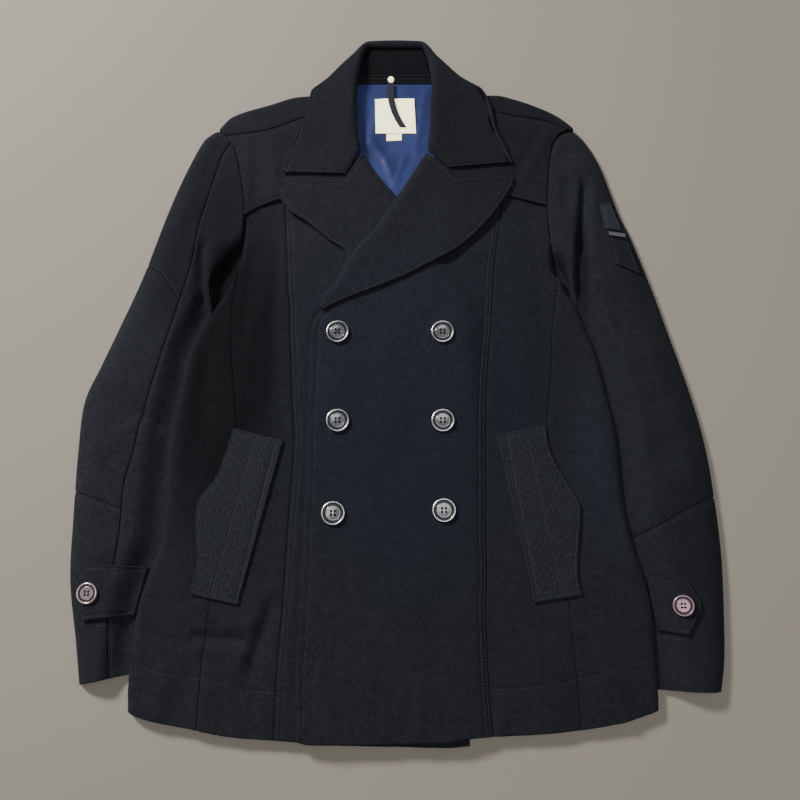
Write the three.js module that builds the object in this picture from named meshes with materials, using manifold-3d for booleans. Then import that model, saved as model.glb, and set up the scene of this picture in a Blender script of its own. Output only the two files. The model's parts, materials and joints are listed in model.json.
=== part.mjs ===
// A double-breasted pea coat laid flat, face up, with its left front over its right front.
// Millimetres, +X to the viewer's right, +Y toward the collar, +Z up from the surface it lies on.
// Right and left are the wearer's, so the coat's right side lies at negative x.
import * as THREE from 'three';
import { mergeVertices } from 'three/addons/utils/BufferGeometryUtils.js';
import Module from 'manifold-3d';

const wasm = await Module();
wasm.setup();

// Cloth and gaps
const SEAM = 0.3; // between two pieces that are sewn edge to edge
const REST = 0.3; // between a layer and what it lies on
const BACK_CLOTH = 3.2; // wool and lining
const FRONT_CLOTH = 3.6; // wool, canvas and facing
const YOKE_CLOTH = 2.8;
const LAPEL_CLOTH = 3;
const SLEEVE_CLOTH = 2.6;
const UNDER_SLEEVE_CLOTH = 2.2;
const LINING_CLOTH = 1;
const POCKET_CLOTH = 2.6;
const TAB_CLOTH = 2.8;
const TAB_REST = 1; // the stiff tabs stand off the sleeves' curve a little

// Heights of the layers' upper faces above the surface
const FRONT_TOP = 10.6; // a front that lies on the back alone
const FRONT_DIP = 2.4; // how far the fronts sink where the yokes cross them
const YOKE_TOP = 11.4;
const UPPER_FRONT_LIFT = FRONT_CLOTH + REST; // the left front where it lies on the right one
const LINING_TOP = BACK_CLOTH + REST + LINING_CLOTH;
const RIGHT_LAPEL_TOP = YOKE_TOP + REST + LAPEL_CLOTH;
const LEAF_TOP = 15.2; // the collar's leaves
const LAPEL_FLAT_TOP = YOKE_TOP + 0.5 + LAPEL_CLOTH; // the left lapel's outer part, on the yoke
const LAPEL_OVERLAP_LIFT = 3.1; // more where it lies on the other front

// How a side edge meets the sleeve that is tucked under it
const SIDE_ROLL = 9; // radius of the body's rounded side edges
const TUCK = 8; // how far a sleeve's inner edge goes under the body
const TUCK_TOP = 5; // height of the sleeve there
const TUCK_CLEAR = 5.6; // height of the body's edge over it
const ARMPIT_EDGE = UNDER_SLEEVE_CLOTH + 0.6; // where the sleeve's edge ends over its own underside
const ARMHOLE_GAP = 0.8; // between the body's side line and the sleeve's upper end

function table(columns, rows) {
  return rows.map((row) => Object.fromEntries(columns.map((name, k) => [name, row[k]])));
}

// Each row crosses the body at one height: its two side edges and the four front seams.
const BODY_COLUMNS = [
  'y', 'rightSide', 'rightPocketSeam', 'rightSeam', 'leftSeam', 'leftPocketSeam', 'leftSide',
];
const BODY_ROWS = table(BODY_COLUMNS, [
  [277, -214, -214, -138, 126, 210, 210],
  [264, -202, -202, -137, 125, 189, 189],
  [250, -192, -192, -136, 124, 182, 182],
  [220, -184, -184, -134, 122, 177, 177],
  [166, -177, -177, -130, 119, 173, 173],
  [139, -177, -177, -128, 115, 174, 174],
  [112, -179, -179, -126, 111, 178, 178],
  [81, -189, -182, -124, 108, 179, 187],
  [53, -204, -185, -121, 106, 176, 201],
  [26, -218, -185, -120, 104, 172, 210],
  [0, -227, -183, -118, 101, 170, 219],
  [-50, -235, -177, -115, 97, 165, 229],
  [-100, -242, -172, -111, 95, 160, 237],
  [-160, -245, -176, -113, 94, 163, 239],
  [-205, -247, -183, -115, 93, 168, 246],
  [-231, -255, -187, -116, 93, 171, 253],
  [-280, -267, -193, -118, 91, 176, 262],
  [-340, -270, -197, -121, 92, 180, 262],
  [-410, -270, -199, -122, 96, 183, 259],
]);

// The fronts' free edges: the left one shows, and the right one is hidden but for its hem.
// Above the break both turn back as lapels along their roll lines.
const FRONT_EDGE_ROWS = [
  { y: -410, left: -99, right: 72 },
  { y: -333, left: -101, right: 72 },
  { y: -255, left: -98, right: 72 },
  { y: -74, left: -96, right: 72 },
  { y: 26, left: -95, right: 72 },
  { y: 48, left: -84, right: 70 },
  { y: 80, left: -61, right: 52 },
  { y: 115, left: -43, right: 28 },
  { y: 148, left: -16, right: 10 },
  { y: 183, left: 6, right: -7 },
  { y: 205, left: 20, right: -18 },
];

// The hem's line under each front.
const HEM_ROWS = [
  { x: -275, under: -372, upper: -372, back: -369 },
  { x: -242, under: -382, upper: -382, back: -379 },
  { x: -203, under: -389, upper: -389, back: -386 },
  { x: -166, under: -396, upper: -396, back: -393 },
  { x: -100, under: -401, upper: -400, back: -397 },
  { x: -86, under: -403, upper: -403, back: -398 },
  { x: 0, under: -405, upper: -402, back: -398 },
  { x: 48, under: -406, upper: -401, back: -396 },
  { x: 74, under: -404, upper: -397, back: -393 },
  { x: 136, under: -400, upper: -394, back: -391 },
  { x: 180, under: -396, upper: -390, back: -387 },
  { x: 219, under: -390, upper: -384, back: -381 },
  { x: 265, under: -380, upper: -371, back: -368 },
];

// The yokes' lower edges, the forward shoulder seams and the shoulders' outer line.
const YOKE_EDGE_ROWS = [
  { x: -180, y: 162 },
  { x: -159, y: 175 },
  { x: -135, y: 184 },
  { x: -90, y: 191 },
  { x: 0, y: 194 },
  { x: 80, y: 192 },
  { x: 129, y: 188 },
  { x: 152, y: 182 },
  { x: 176, y: 176 },
];
const SHOULDER_ROWS = [
  { x: -215, seam: 266, line: 277 },
  { x: -197, seam: 268, line: 296 },
  { x: -153, seam: 275, line: 312 },
  { x: -118, seam: 289, line: 323 },
  { x: -95, seam: 296, line: 324.5 },
  { x: -55, seam: 306, line: 328 },
  { x: 0, seam: 308, line: 330 },
  { x: 50, seam: 306, line: 328 },
  { x: 95, seam: 302, line: 324.5 },
  { x: 118, seam: 298, line: 325 },
  { x: 142, seam: 293, line: 319 },
  { x: 170, seam: 288, line: 308 },
  { x: 192, seam: 280, line: 296 },
  { x: 212, seam: 270, line: 277 },
];
const NECK = { middle: -3, seam: 340.1, yokeRight: -58, yokeLeft: 48, stripEnd: 62 };
// The stand's lower and upper edge, each with its height above the surface.
const STAND = { low: 340.5, high: 384.5, foot: 4.8, head: 14.2, cloth: 2.6 };

// Folds as soft ridges (rise above 0) and troughs, each along one straight line.
const BODY_FOLDS = [
  { x0: -202, y0: -302, x1: -150, y1: -306, width: 9, rise: -1.5 },
  { x0: -127, y0: -272, x1: -146, y1: -335, width: 9, rise: -1.5 },
  { x0: -150, y0: -290, x1: -168, y1: -345, width: 13, rise: 1.5 },
  { x0: -191, y0: -340, x1: -198, y1: -392, width: 11, rise: 1.9 },
  { x0: -213, y0: -345, x1: -217, y1: -380, width: 9, rise: -1.3 },
  { x0: -234, y0: -335, x1: -238, y1: -372, width: 10, rise: 1.6 },
  { x0: -211, y0: -8, x1: -210, y1: -52, width: 9, rise: -1.6 },
  { x0: -232, y0: -150, x1: -229, y1: -166, width: 12, rise: 1.4 },
  { x0: -152, y0: 60, x1: -158, y1: -50, width: 15, rise: 1.1 },
  { x0: 140, y0: 60, x1: 137, y1: -50, width: 15, rise: 1.1 },
  { x0: 208, y0: -296, x1: 216, y1: -366, width: 13, rise: 1.5 },
  { x0: 184, y0: -312, x1: 187, y1: -378, width: 12, rise: -1.2 },
  { x0: 146, y0: -310, x1: 150, y1: -380, width: 14, rise: 1.2 },
  { x0: 214, y0: -60, x1: 224, y1: -150, width: 12, rise: 1.2 },
];
const RIGHT_SLEEVE_FOLDS = [
  { x0: -281, y0: -67, x1: -256, y1: -86, width: 10, rise: -2.2 },
  { x0: -222, y0: 125, x1: -221, y1: 50, width: 8, rise: -2 },
  { x0: -262, y0: 150, x1: -240, y1: 175, width: 14, rise: 1.3 },
  { x0: -322, y0: -40, x1: -296, y1: -60, width: 12, rise: -1.4 },
  { x0: -320, y0: -112, x1: -296, y1: -96, width: 12, rise: 1.3 },
  { x0: -305, y0: -215, x1: -272, y1: -205, width: 12, rise: 1.2 },
];
const LEFT_SLEEVE_FOLDS = [
  { x0: 219, y0: 205, x1: 211, y1: 128, width: 8, rise: -3.4 },
  { x0: 211, y0: 128, x1: 208, y1: 66, width: 8, rise: -3.8 },
  { x0: 199, y0: 243, x1: 200, y1: 239, width: 9, rise: -1.6 },
  { x0: 197, y0: 200, x1: 198, y1: 178, width: 7, rise: -1.5 },
  { x0: 300, y0: 0, x1: 262, y1: -14, width: 13, rise: 1.4 },
  { x0: 312, y0: -92, x1: 280, y1: -112, width: 12, rise: -1.4 },
  { x0: 316, y0: -132, x1: 284, y1: -150, width: 13, rise: 1.3 },
  { x0: 318, y0: -205, x1: 286, y1: -190, width: 12, rise: -1.1 },
];

// A sleeve's outline, from the cuff up to the shoulder outside and to the armpit inside.
const RIGHT_OUTER = [
  [-321, -348], [-329, -304], [-340.5, -244], [-343.5, -177], [-345, -110], [-343, -55],
  [-328.5, -14], [-312, 30], [-290.5, 90], [-268.5, 166], [-252, 215], [-233, 260], [-222.5, 272],
  [-214.8, 277],
];
const RIGHT_INNER = [
  [-262, -336], [-259, -280], [-240, -212], [-237, -160], [-234, -100], [-227, -50],
  [-219, 0], [-211, 30], [-207.5, 50], [-209, 66], [-207, 82], [-196, 101], [-187, 119], [-178, 139],
];
const LEFT_OUTER = [
  [327, -355], [333, -325], [337, -280], [340, -220], [338, -155], [333, -101], [322, -45],
  [303, 26], [289, 77], [270, 138], [259, 166], [248.5, 201], [238.5, 233], [224, 262], [210.8, 277],
];
const LEFT_INNER = [
  [254, -352], [254, -290], [244, -232], [237, -200], [231, -160], [229, -100], [221, -50],
  [212, 0], [204, 28], [202.5, 50], [196.5, 72], [188.5, 92], [181, 110], [176, 125],
];

// Sections along a sleeve from cuff (0) to armhole (1): its height, the radius of its outer edge,
// the height its inner edge ends at, whether that edge rolls to the surface (1) or lies tucked
// flat (0), and the share of the width at which the long seam runs.
const RIGHT_SLEEVE_ROWS = [
  { v: 0, height: 15, roll: 25, end: TUCK_TOP, rolled: 0, seam: 0.55 },
  { v: 0.2, height: 16, roll: 26, end: TUCK_TOP, rolled: 0, seam: 0.51 },
  { v: 0.33, height: 16, roll: 27, end: TUCK_TOP, rolled: 0, seam: 0.48 },
  { v: 0.44, height: 17, roll: 28, end: TUCK_TOP, rolled: 0, seam: 0.55 },
  { v: 0.62, height: 17, roll: 26, end: TUCK_TOP, rolled: 0, seam: 0.5 },
  { v: 0.76, height: 16, roll: 24, end: TUCK_TOP, rolled: 0, seam: 0.46 },
  { v: 0.84, height: 15, roll: 20, end: ARMPIT_EDGE, rolled: 1, seam: 0.4 },
  { v: 0.93, height: 13, roll: 14, end: ARMPIT_EDGE, rolled: 1, seam: 0.26 },
  { v: 1, height: 10.9, roll: SIDE_ROLL, end: 7, rolled: 1, seam: 0.14 },
];
const LEFT_SLEEVE_ROWS = [
  { v: 0, height: 15, roll: 25, end: TUCK_TOP, rolled: 0 },
  { v: 0.2, height: 16, roll: 26, end: TUCK_TOP, rolled: 0 },
  { v: 0.44, height: 17, roll: 28, end: TUCK_TOP, rolled: 0 },
  { v: 0.62, height: 17, roll: 26, end: TUCK_TOP, rolled: 0 },
  { v: 0.83, height: 15.5, roll: 22, end: TUCK_TOP, rolled: 0 },
  { v: 0.89, height: 14.4, roll: 18, end: ARMPIT_EDGE, rolled: 1 },
  { v: 0.94, height: 13, roll: 13, end: ARMPIT_EDGE, rolled: 1 },
  { v: 1, height: 10.9, roll: SIDE_ROLL, end: 7, rolled: 1 },
];
const RIGHT_CROSS_SEAMS = { elbow: 0.3, upperArm: 0.71 };
const LEFT_CROSS_SEAM = 0.3;

// Sections of the collar from the end of the right leaf, round behind the neck, to the left one:
// where it starts at the neck, where it ends, and the heights of its lip, crest and outer edge.
const COLLAR_ROWS = [
  { nearX: -60, nearY: 215, farX: -134, farY: 217, lip: 13.5, crest: 15.2, edge: 15.2 },
  { nearX: -51, nearY: 231, farX: -127, farY: 243, lip: 13.2, crest: 16, edge: 15.2 },
  { nearX: -44, nearY: 248, farX: -120, farY: 266, lip: 13, crest: 17, edge: 15.2 },
  { nearX: -48, nearY: 279, farX: -110, farY: 291, lip: 13, crest: 18, edge: 15.2 },
  { nearX: -49, nearY: 305, farX: -106, farY: 308, lip: 13, crest: 18.4, edge: 15.2 },
  { nearX: -48, nearY: 331, farX: -104, farY: 324, lip: 13, crest: 18.6, edge: 14 },
  { nearX: -45.5, nearY: 350, farX: -85, farY: 346, lip: 13, crest: 18.8, edge: 0 },
  { nearX: -42, nearY: 368, farX: -62, farY: 371, lip: 14, crest: 19, edge: 0 },
  { nearX: -34, nearY: 382.5, farX: -35, farY: 395, lip: 15, crest: 19, edge: 0 },
  { nearX: -3, nearY: 382.5, farX: -3, farY: 397, lip: 15, crest: 19, edge: 0 },
  { nearX: 28, nearY: 382.5, farX: 29, farY: 395, lip: 15, crest: 19, edge: 0 },
  { nearX: 36, nearY: 368, farX: 54, farY: 370, lip: 14, crest: 19, edge: 0 },
  { nearX: 39.5, nearY: 350, farX: 78, farY: 346, lip: 13, crest: 18.8, edge: 0 },
  { nearX: 41, nearY: 331, farX: 102, farY: 327, lip: 13, crest: 18.6, edge: 14 },
  { nearX: 39, nearY: 305, farX: 112, farY: 304, lip: 13, crest: 18.4, edge: 15.2 },
  { nearX: 38, nearY: 273, farX: 116, farY: 279, lip: 13, crest: 18, edge: 15.2 },
  { nearX: 36, nearY: 249, farX: 125, farY: 256, lip: 13, crest: 17, edge: 15.2 },
  { nearX: 47, nearY: 236, farX: 130, farY: 243, lip: 13.2, crest: 16, edge: 15.2 },
  { nearX: 60, nearY: 223, farX: 135, farY: 230, lip: 13.5, crest: 15.2, edge: 15.2 },
];

// Outlines of the pieces that lie on the fronts, as seen from above.
const RIGHT_LAPEL = {
  roll: [[-53, 108], [-46, 115], [-20, 147], [-4, 172], [-4, 190], [-14, 204], [-26, 219], [-41, 243]],
  outer: [
    [-56, 111], [-61, 121], [-80, 134], [-103, 154], [-124, 168], [-134, 182], [-136, 191], [-132, 199],
  ],
  top: [[-132, 199], [-125, 203], [-62, 208], [-59, 213], [-42, 243]],
};
const LEFT_LAPEL = {
  roll: [[-87, 50], [-83, 65], [-70, 80], [-52, 115], [-25, 148], [-2, 183], [18, 215], [33, 241]],
  outer: [
    [-82, 48], [-62, 58], [3, 85], [35, 102], [62, 117], [85, 136], [107, 161], [125, 187], [135, 205],
  ],
  top: [[33, 241], [60, 217], [64, 210.5], [128, 216], [134, 213], [135, 205]],
};
const RIGHT_POCKET = {
  inner: [[-163, -270], [-122, -100]],
  outer: [[-213, -259], [-207, -225], [-211, -180], [-206, -158], [-193, -140], [-184, -116], [-176, -86]],
};
const LEFT_POCKET = {
  inner: [[140, -268], [106, -92]],
  outer: [[189, -260], [186, -233], [192, -180], [190, -163], [165, -116], [159, -84]],
};
const RIGHT_TAB = {
  upper: [[-258.5, -231], [-292, -230], [-319, -230], [-329.5, -248]],
  lower: [[-268.5, -280], [-292, -282], [-317, -285], [-329.5, -271]],
};
const LEFT_TAB = {
  upper: [[258, -241], [278, -241], [294, -242], [308, -266]],
  lower: [[265.5, -295], [281, -297], [293, -299], [308, -273]],
};
const BADGE = { upper: [[232, 176], [246, 180]], lower: [[237, 145], [257, 145]] };
const SLEEVE_POCKET = { upper: [[241, 132], [263, 130]], lower: [[245, 101], [274, 91]] };
const SLEEVE_BAR = { x: 250, y: 138.4, length: 21, width: 4.6, height: 1.6, groove: 0.6 };
const LABEL = [[-26, 273], [22, 273], [20, 320], [-27, 319]];
const SIZE_TAB = [[-13, 263], [5, 264], [5, 272.4], [-13, 272.4]];
const LOOP_LINE = [[6, 280], [2, 297], [-4, 320], [-7, 335]];
const DOT = { x: -8, y: 345.6, radius: 3.8 };

const BUTTON = { radius: 12.8, height: 4.4, hole: 1.5, spread: 2.9, sides: 16 };
const CUFF_BUTTON = { radius: 10.8, height: 3.8, hole: 1.3, spread: 2.5, sides: 14 };
const FRONT_BUTTONS = [
  { name: 'button_right_1', x: -66, y: 22 },
  { name: 'button_right_2', x: -64, y: -78 },
  { name: 'button_right_3', x: -67, y: -177 },
  { name: 'button_left_1', x: 50, y: 22 },
  { name: 'button_left_2', x: 49, y: -78 },
  { name: 'button_left_3', x: 49, y: -174 },
];

const FINISHES = {
  wool: { color: 0x22242c, roughness: 0.95, metalness: 0 },
  lining: { color: 0x33457c, roughness: 0.45, metalness: 0 },
  pocketCloth: { color: 0x242c3c, roughness: 0.9, metalness: 0 },
  label: { color: 0xd8d3c6, roughness: 0.8, metalness: 0 },
  loop: { color: 0x1e2230, roughness: 0.8, metalness: 0 },
  button: { color: 0x17181b, roughness: 0.25, metalness: 0.2 },
  cuffButton: { color: 0x6d5a5c, roughness: 0.3, metalness: 0.2 },
  metal: { color: 0xb9bbbd, roughness: 0.3, metalness: 0.9 },
};
const materials = Object.fromEntries(
  Object.entries(FINISHES).map(([key, look]) => [key, new THREE.MeshStandardMaterial(look)]),
);
const coat = new THREE.Group();

const lerp = THREE.MathUtils.lerp;
const clamp = THREE.MathUtils.clamp;
const smooth = THREE.MathUtils.smoothstep;

// A smooth line through one column of a table that never overshoots its rows.
function through(rows, from, to) {
  const line = [...rows].sort((a, b) => a[from] - b[from]);
  const rise = line.slice(1).map((row, i) => (row[to] - line[i][to]) / (row[from] - line[i][from]));
  const slope = line.map((row, i) => {
    if (i === 0 || i === line.length - 1) return rise[Math.min(i, rise.length - 1)];
    const [before, after] = [rise[i - 1], rise[i]];
    return before * after <= 0 ? 0 : (2 * before * after) / (before + after);
  });
  return (at) => {
    let i = 0;
    while (i < line.length - 2 && at > line[i + 1][from]) i += 1;
    const span = line[i + 1][from] - line[i][from];
    const t = clamp((at - line[i][from]) / span, 0, 1);
    const level = (2 * t ** 3 - 3 * t ** 2 + 1) * line[i][to] + (3 * t ** 2 - 2 * t ** 3) * line[i + 1][to];
    return level + span * ((t ** 3 - 2 * t ** 2 + t) * slope[i] + (t ** 3 - t ** 2) * slope[i + 1]);
  };
}

// Curves in plan, each a function from 0..1 to a point.
function curved(points) {
  const spline = new THREE.SplineCurve(points.map(([x, y]) => new THREE.Vector2(x, y)));
  return (t) => spline.getPointAt(clamp(t, 0, 1)).toArray();
}

function bent(points) {
  const path = new THREE.CurvePath();
  for (let i = 1; i < points.length; i += 1) {
    path.add(new THREE.LineCurve(new THREE.Vector2(...points[i - 1]), new THREE.Vector2(...points[i])));
  }
  return (t) => path.getPointAt(clamp(t, 0, 1)).toArray();
}

const upLine = (line, from, to) => (t) => [line(lerp(from, to, t)), lerp(from, to, t)];
const acrossLine = (line, from, to) => (t) => [lerp(from, to, t), line(lerp(from, to, t))];

// A four-sided piece of plan between two lines that run up it and two that cross it.
function coons({ start, end, bottom, top }) {
  const corner = [[start(0), end(0)], [start(1), end(1)]];
  return (u, v) => [0, 1].map((k) => {
    const ruled = (1 - u) * start(v)[k] + u * end(v)[k] + (1 - v) * bottom(u)[k] + v * top(u)[k];
    const low = (1 - u) * corner[0][0][k] + u * corner[0][1][k];
    const high = (1 - u) * corner[1][0][k] + u * corner[1][1][k];
    return ruled - (1 - v) * low - v * high;
  });
}

// Where a line x(y) meets a line y(x).
function meet(upward, across, guess) {
  let y = guess;
  for (let i = 0; i < 30; i += 1) y = across(upward(y));
  return y;
}

function panelPlan({ start, end, bottom, top }) {
  const low = [meet(start, bottom, -390), meet(end, bottom, -390)];
  const high = [meet(start, top, 200), meet(end, top, 200)];
  return coons({
    start: upLine(start, low[0], high[0]),
    end: upLine(end, low[1], high[1]),
    bottom: acrossLine(bottom, start(low[0]), end(low[1])),
    top: acrossLine(top, start(high[0]), end(high[1])),
  });
}

const column = (name, shift = 0) => {
  const line = through(BODY_ROWS, 'y', name);
  return (y) => line(y) + shift;
};
const rightSide = column('rightSide');
const leftSide = column('leftSide');
const freeEdge = through(FRONT_EDGE_ROWS, 'y', 'left');
const underEdge = through(FRONT_EDGE_ROWS, 'y', 'right');
const underHem = through(HEM_ROWS, 'x', 'under');
const upperHem = through(HEM_ROWS, 'x', 'upper');
const yokeEdge = through(YOKE_EDGE_ROWS, 'x', 'y');
const shoulderSeam = through(SHOULDER_ROWS, 'x', 'seam');
const shoulderLine = through(SHOULDER_ROWS, 'x', 'line');

function foldHeight(folds, x, y) {
  let height = 0;
  for (const { x0, y0, x1, y1, width, rise } of folds) {
    const along = ((x - x0) * (x1 - x0) + (y - y0) * (y1 - y0)) / ((x1 - x0) ** 2 + (y1 - y0) ** 2);
    const t = clamp(along, 0, 1);
    const away = Math.hypot(x - lerp(x0, x1, t), y - lerp(y0, y1, t));
    height += rise * Math.exp(-((away / width) ** 2));
  }
  return height;
}

const standHeight = (y) => lerp(STAND.foot, STAND.head, (y - STAND.low) / (STAND.high - STAND.low));

// Heights of the fronts' upper faces.
const underTop = (x, y) => FRONT_TOP - FRONT_DIP * smooth(y, 120, 162) + foldHeight(BODY_FOLDS, x, y);
function upperTop(x, y) {
  const overlap = smooth(underEdge(y) + 27 - x, 0, 22);
  return underTop(x, y) + UPPER_FRONT_LIFT * overlap;
}
const leftLapelTop = (x) => LAPEL_FLAT_TOP + LAPEL_OVERLAP_LIFT * smooth(105 - x, 0, 58);

// Sets the left front's steps where it leaves the other front's hidden edge and sinks to the back.
function atOverlap(plan) {
  return (u, v) => {
    const [x0, y] = plan(0, v);
    const x1 = plan(1, v)[0];
    const leave = clamp(underEdge(y) + 4, x0 + 2, x1 - 9);
    const half = clamp(underEdge(y) + 15, leave + 2, x1 - 5);
    const sunk = clamp(underEdge(y) + 26, half + 2, x1 - 2);
    const marks = [0, 6, 7, 8, 9].map((step, k) => ({ u: step / 9, x: [x0, leave, half, sunk, x1][k] }));
    const k = Math.max(marks.findLastIndex((mark, n) => n < 4 && u >= mark.u), 0);
    const x = lerp(marks[k].x, marks[k + 1].x, (u - marks[k].u) / (marks[k + 1].u - marks[k].u));
    return plan((x - x0) / (x1 - x0), v);
  };
}

// Steps across a piece: a round rim at either end takes steps of equal angle.
const RIM_ANGLES = [0, 1, 2, 3].map((k) => (k * Math.PI) / 6);
function stations(width, startRim, endRim, flats) {
  const first = startRim ? RIM_ANGLES.map((a) => startRim * (1 - Math.cos(a))) : [0];
  const last = endRim ? RIM_ANGLES.map((a) => width - endRim * (1 - Math.cos(a))).reverse() : [width];
  const middle = [];
  const even = (count) => Array.from({ length: count - 1 }, (_, k) => (k + 1) / count);
  const shares = Array.isArray(flats) ? flats : even(flats);
  for (const share of shares) middle.push(lerp(startRim, width - endRim, share));
  return [...first, ...middle, ...last];
}
const roundUp = (away, radius) => Math.sqrt(1 - (1 - clamp(away / radius, 0, 1)) ** 2);

// A closed wall from two grids of points, one on each face of the cloth.
function wall(name, finish, upper, lower) {
  const rows = upper.length;
  const columns = upper[0].length;
  const vertices = [...upper.flat(), ...lower.flat()].flat();
  const end = columns - 1;
  const at = (side, i, j) => side * rows * columns + i * columns + j;
  const triangles = [];
  const quad = (a, b, c, d) => triangles.push(a, b, c, a, c, d);
  for (let i = 0; i < rows - 1; i += 1) {
    for (let j = 0; j < columns - 1; j += 1) {
      quad(at(0, i, j), at(0, i, j + 1), at(0, i + 1, j + 1), at(0, i + 1, j));
      quad(at(1, i, j), at(1, i + 1, j), at(1, i + 1, j + 1), at(1, i, j + 1));
    }
    quad(at(1, i, 0), at(0, i, 0), at(0, i + 1, 0), at(1, i + 1, 0));
    quad(at(0, i, end), at(1, i, end), at(1, i + 1, end), at(0, i + 1, end));
  }
  for (let j = 0; j < columns - 1; j += 1) {
    quad(at(0, 0, j), at(1, 0, j), at(1, 0, j + 1), at(0, 0, j + 1));
    quad(at(1, rows - 1, j), at(0, rows - 1, j), at(0, rows - 1, j + 1), at(1, rows - 1, j + 1));
  }
  return addSolid(name, finish, vertices, triangles);
}

function addSolid(name, finish, vertices, triangles) {
  const corner = (k) => new THREE.Vector3(...vertices.slice(3 * k, 3 * k + 3));
  let volume = 0;
  for (let k = 0; k < triangles.length; k += 3) {
    const [a, b, c] = [0, 1, 2].map((n) => corner(triangles[k + n]));
    volume += a.dot(b.cross(c));
  }
  const faces = volume > 0 ? triangles : [...triangles].reverse();
  const geometry = new THREE.BufferGeometry();
  geometry.setAttribute('position', new THREE.Float32BufferAttribute(vertices, 3));
  geometry.setIndex(faces);
  geometry.computeVertexNormals();
  const mesh = new THREE.Mesh(geometry, materials[finish]);
  mesh.name = name;
  coat.add(mesh);
  return mesh;
}

// The upper face of a piece as points with the direction that points out of the cloth.
function face(plan, top) {
  const width = (v) => {
    const [a, b] = [plan(0, v), plan(1, v)];
    return Math.hypot(b[0] - a[0], b[1] - a[1]);
  };
  const point = (u, v) => {
    const [x, y] = plan(u, v);
    const w = width(v);
    return new THREE.Vector3(x, y, top({ x, y, u, v, width: w, fromStart: u * w, fromEnd: (1 - u) * w }));
  };
  const STEP = 1e-4;
  const span = (u, v, du, dv) => {
    const ahead = point(Math.min(u + du, 1), Math.min(v + dv, 1));
    return ahead.sub(point(Math.max(u - du, 0), Math.max(v - dv, 0)));
  };
  const turn = span(0.5, 0.5, STEP, 0).cross(span(0.5, 0.5, 0, STEP)).z < 0 ? -1 : 1;
  const out = (u, v) => span(u, v, STEP, 0).cross(span(u, v, 0, STEP)).normalize().multiplyScalar(turn);
  return { point, out, width };
}

const constant = (value) => (typeof value === 'function' ? value : () => value);

// A piece of cloth whose upper face is given over its plan, with round rims where asked for.
function sheet({
  name, finish = 'wool', plan, top, rows, flats, cloth, startRim = 0, endRim = 0, level = false,
}) {
  const surface = face(plan, top);
  const steps = Array.isArray(rows) ? rows : Array.from({ length: rows + 1 }, (_, k) => k / rows);
  const upper = [];
  const lower = [];
  for (const v of steps) {
    const width = surface.width(v);
    const thick = constant(cloth)(v, width);
    const places = stations(width, constant(startRim)(v, width), constant(endRim)(v, width), flats);
    const line = places.map((away) => {
      const at = surface.point(away / width, v);
      const out = level ? new THREE.Vector3(0, 0, 1) : surface.out(away / width, v);
      const under = at.clone().addScaledVector(out, -thick);
      return [at.toArray(), [under.x, under.y, Math.max(under.z, 0)]];
    });
    upper.push(line.map((pair) => pair[0]));
    lower.push(line.map((pair) => pair[1]));
  }
  return wall(name, finish, upper, lower);
}

// Finds where a place in plan lies on a surface, as its two shares.
function locate(plan, x, y) {
  let [u, v] = [0.5, 0.5];
  for (let i = 0; i < 40; i += 1) {
    const here = plan(u, v);
    const across = plan(Math.min(u + 1e-3, 1), v).map((n, k) => (n - plan(Math.max(u - 1e-3, 0), v)[k]));
    const along = plan(u, Math.min(v + 1e-3, 1)).map((n, k) => (n - plan(u, Math.max(v - 1e-3, 0))[k]));
    const wide = Math.min(u + 1e-3, 1) - Math.max(u - 1e-3, 0);
    const long = Math.min(v + 1e-3, 1) - Math.max(v - 1e-3, 0);
    const [a, b, c, d] = [across[0] / wide, along[0] / long, across[1] / wide, along[1] / long];
    const [gx, gy] = [x - here[0], y - here[1]];
    const det = a * d - b * c;
    u = clamp(u + clamp((d * gx - b * gy) / det, -0.2, 0.2), 0.002, 0.998);
    v = clamp(v + clamp((a * gy - c * gx) / det, -0.2, 0.2), 0, 1);
  }
  return [u, v];
}

// A piece that lies on a surface, made from that surface's points moved out.
function overlay({ name, finish, plan, on, rows, columns, cloth, rest = REST }) {
  const [upper, lower] = [[], []];
  for (let i = 0; i <= rows; i += 1) {
    upper.push([]);
    lower.push([]);
    for (let j = 0; j <= columns; j += 1) {
      const { at, out } = on(...plan(j / columns, i / rows));
      upper[i].push(at.clone().addScaledVector(out, rest + cloth).toArray());
      lower[i].push(at.clone().addScaledVector(out, rest).toArray());
    }
  }
  return wall(name, finish, upper, lower);
}

const UP = new THREE.Vector3(0, 0, 1);
const flatOn = (top) => (x, y) => ({ at: new THREE.Vector3(x, y, top(x, y)), out: UP });

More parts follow.
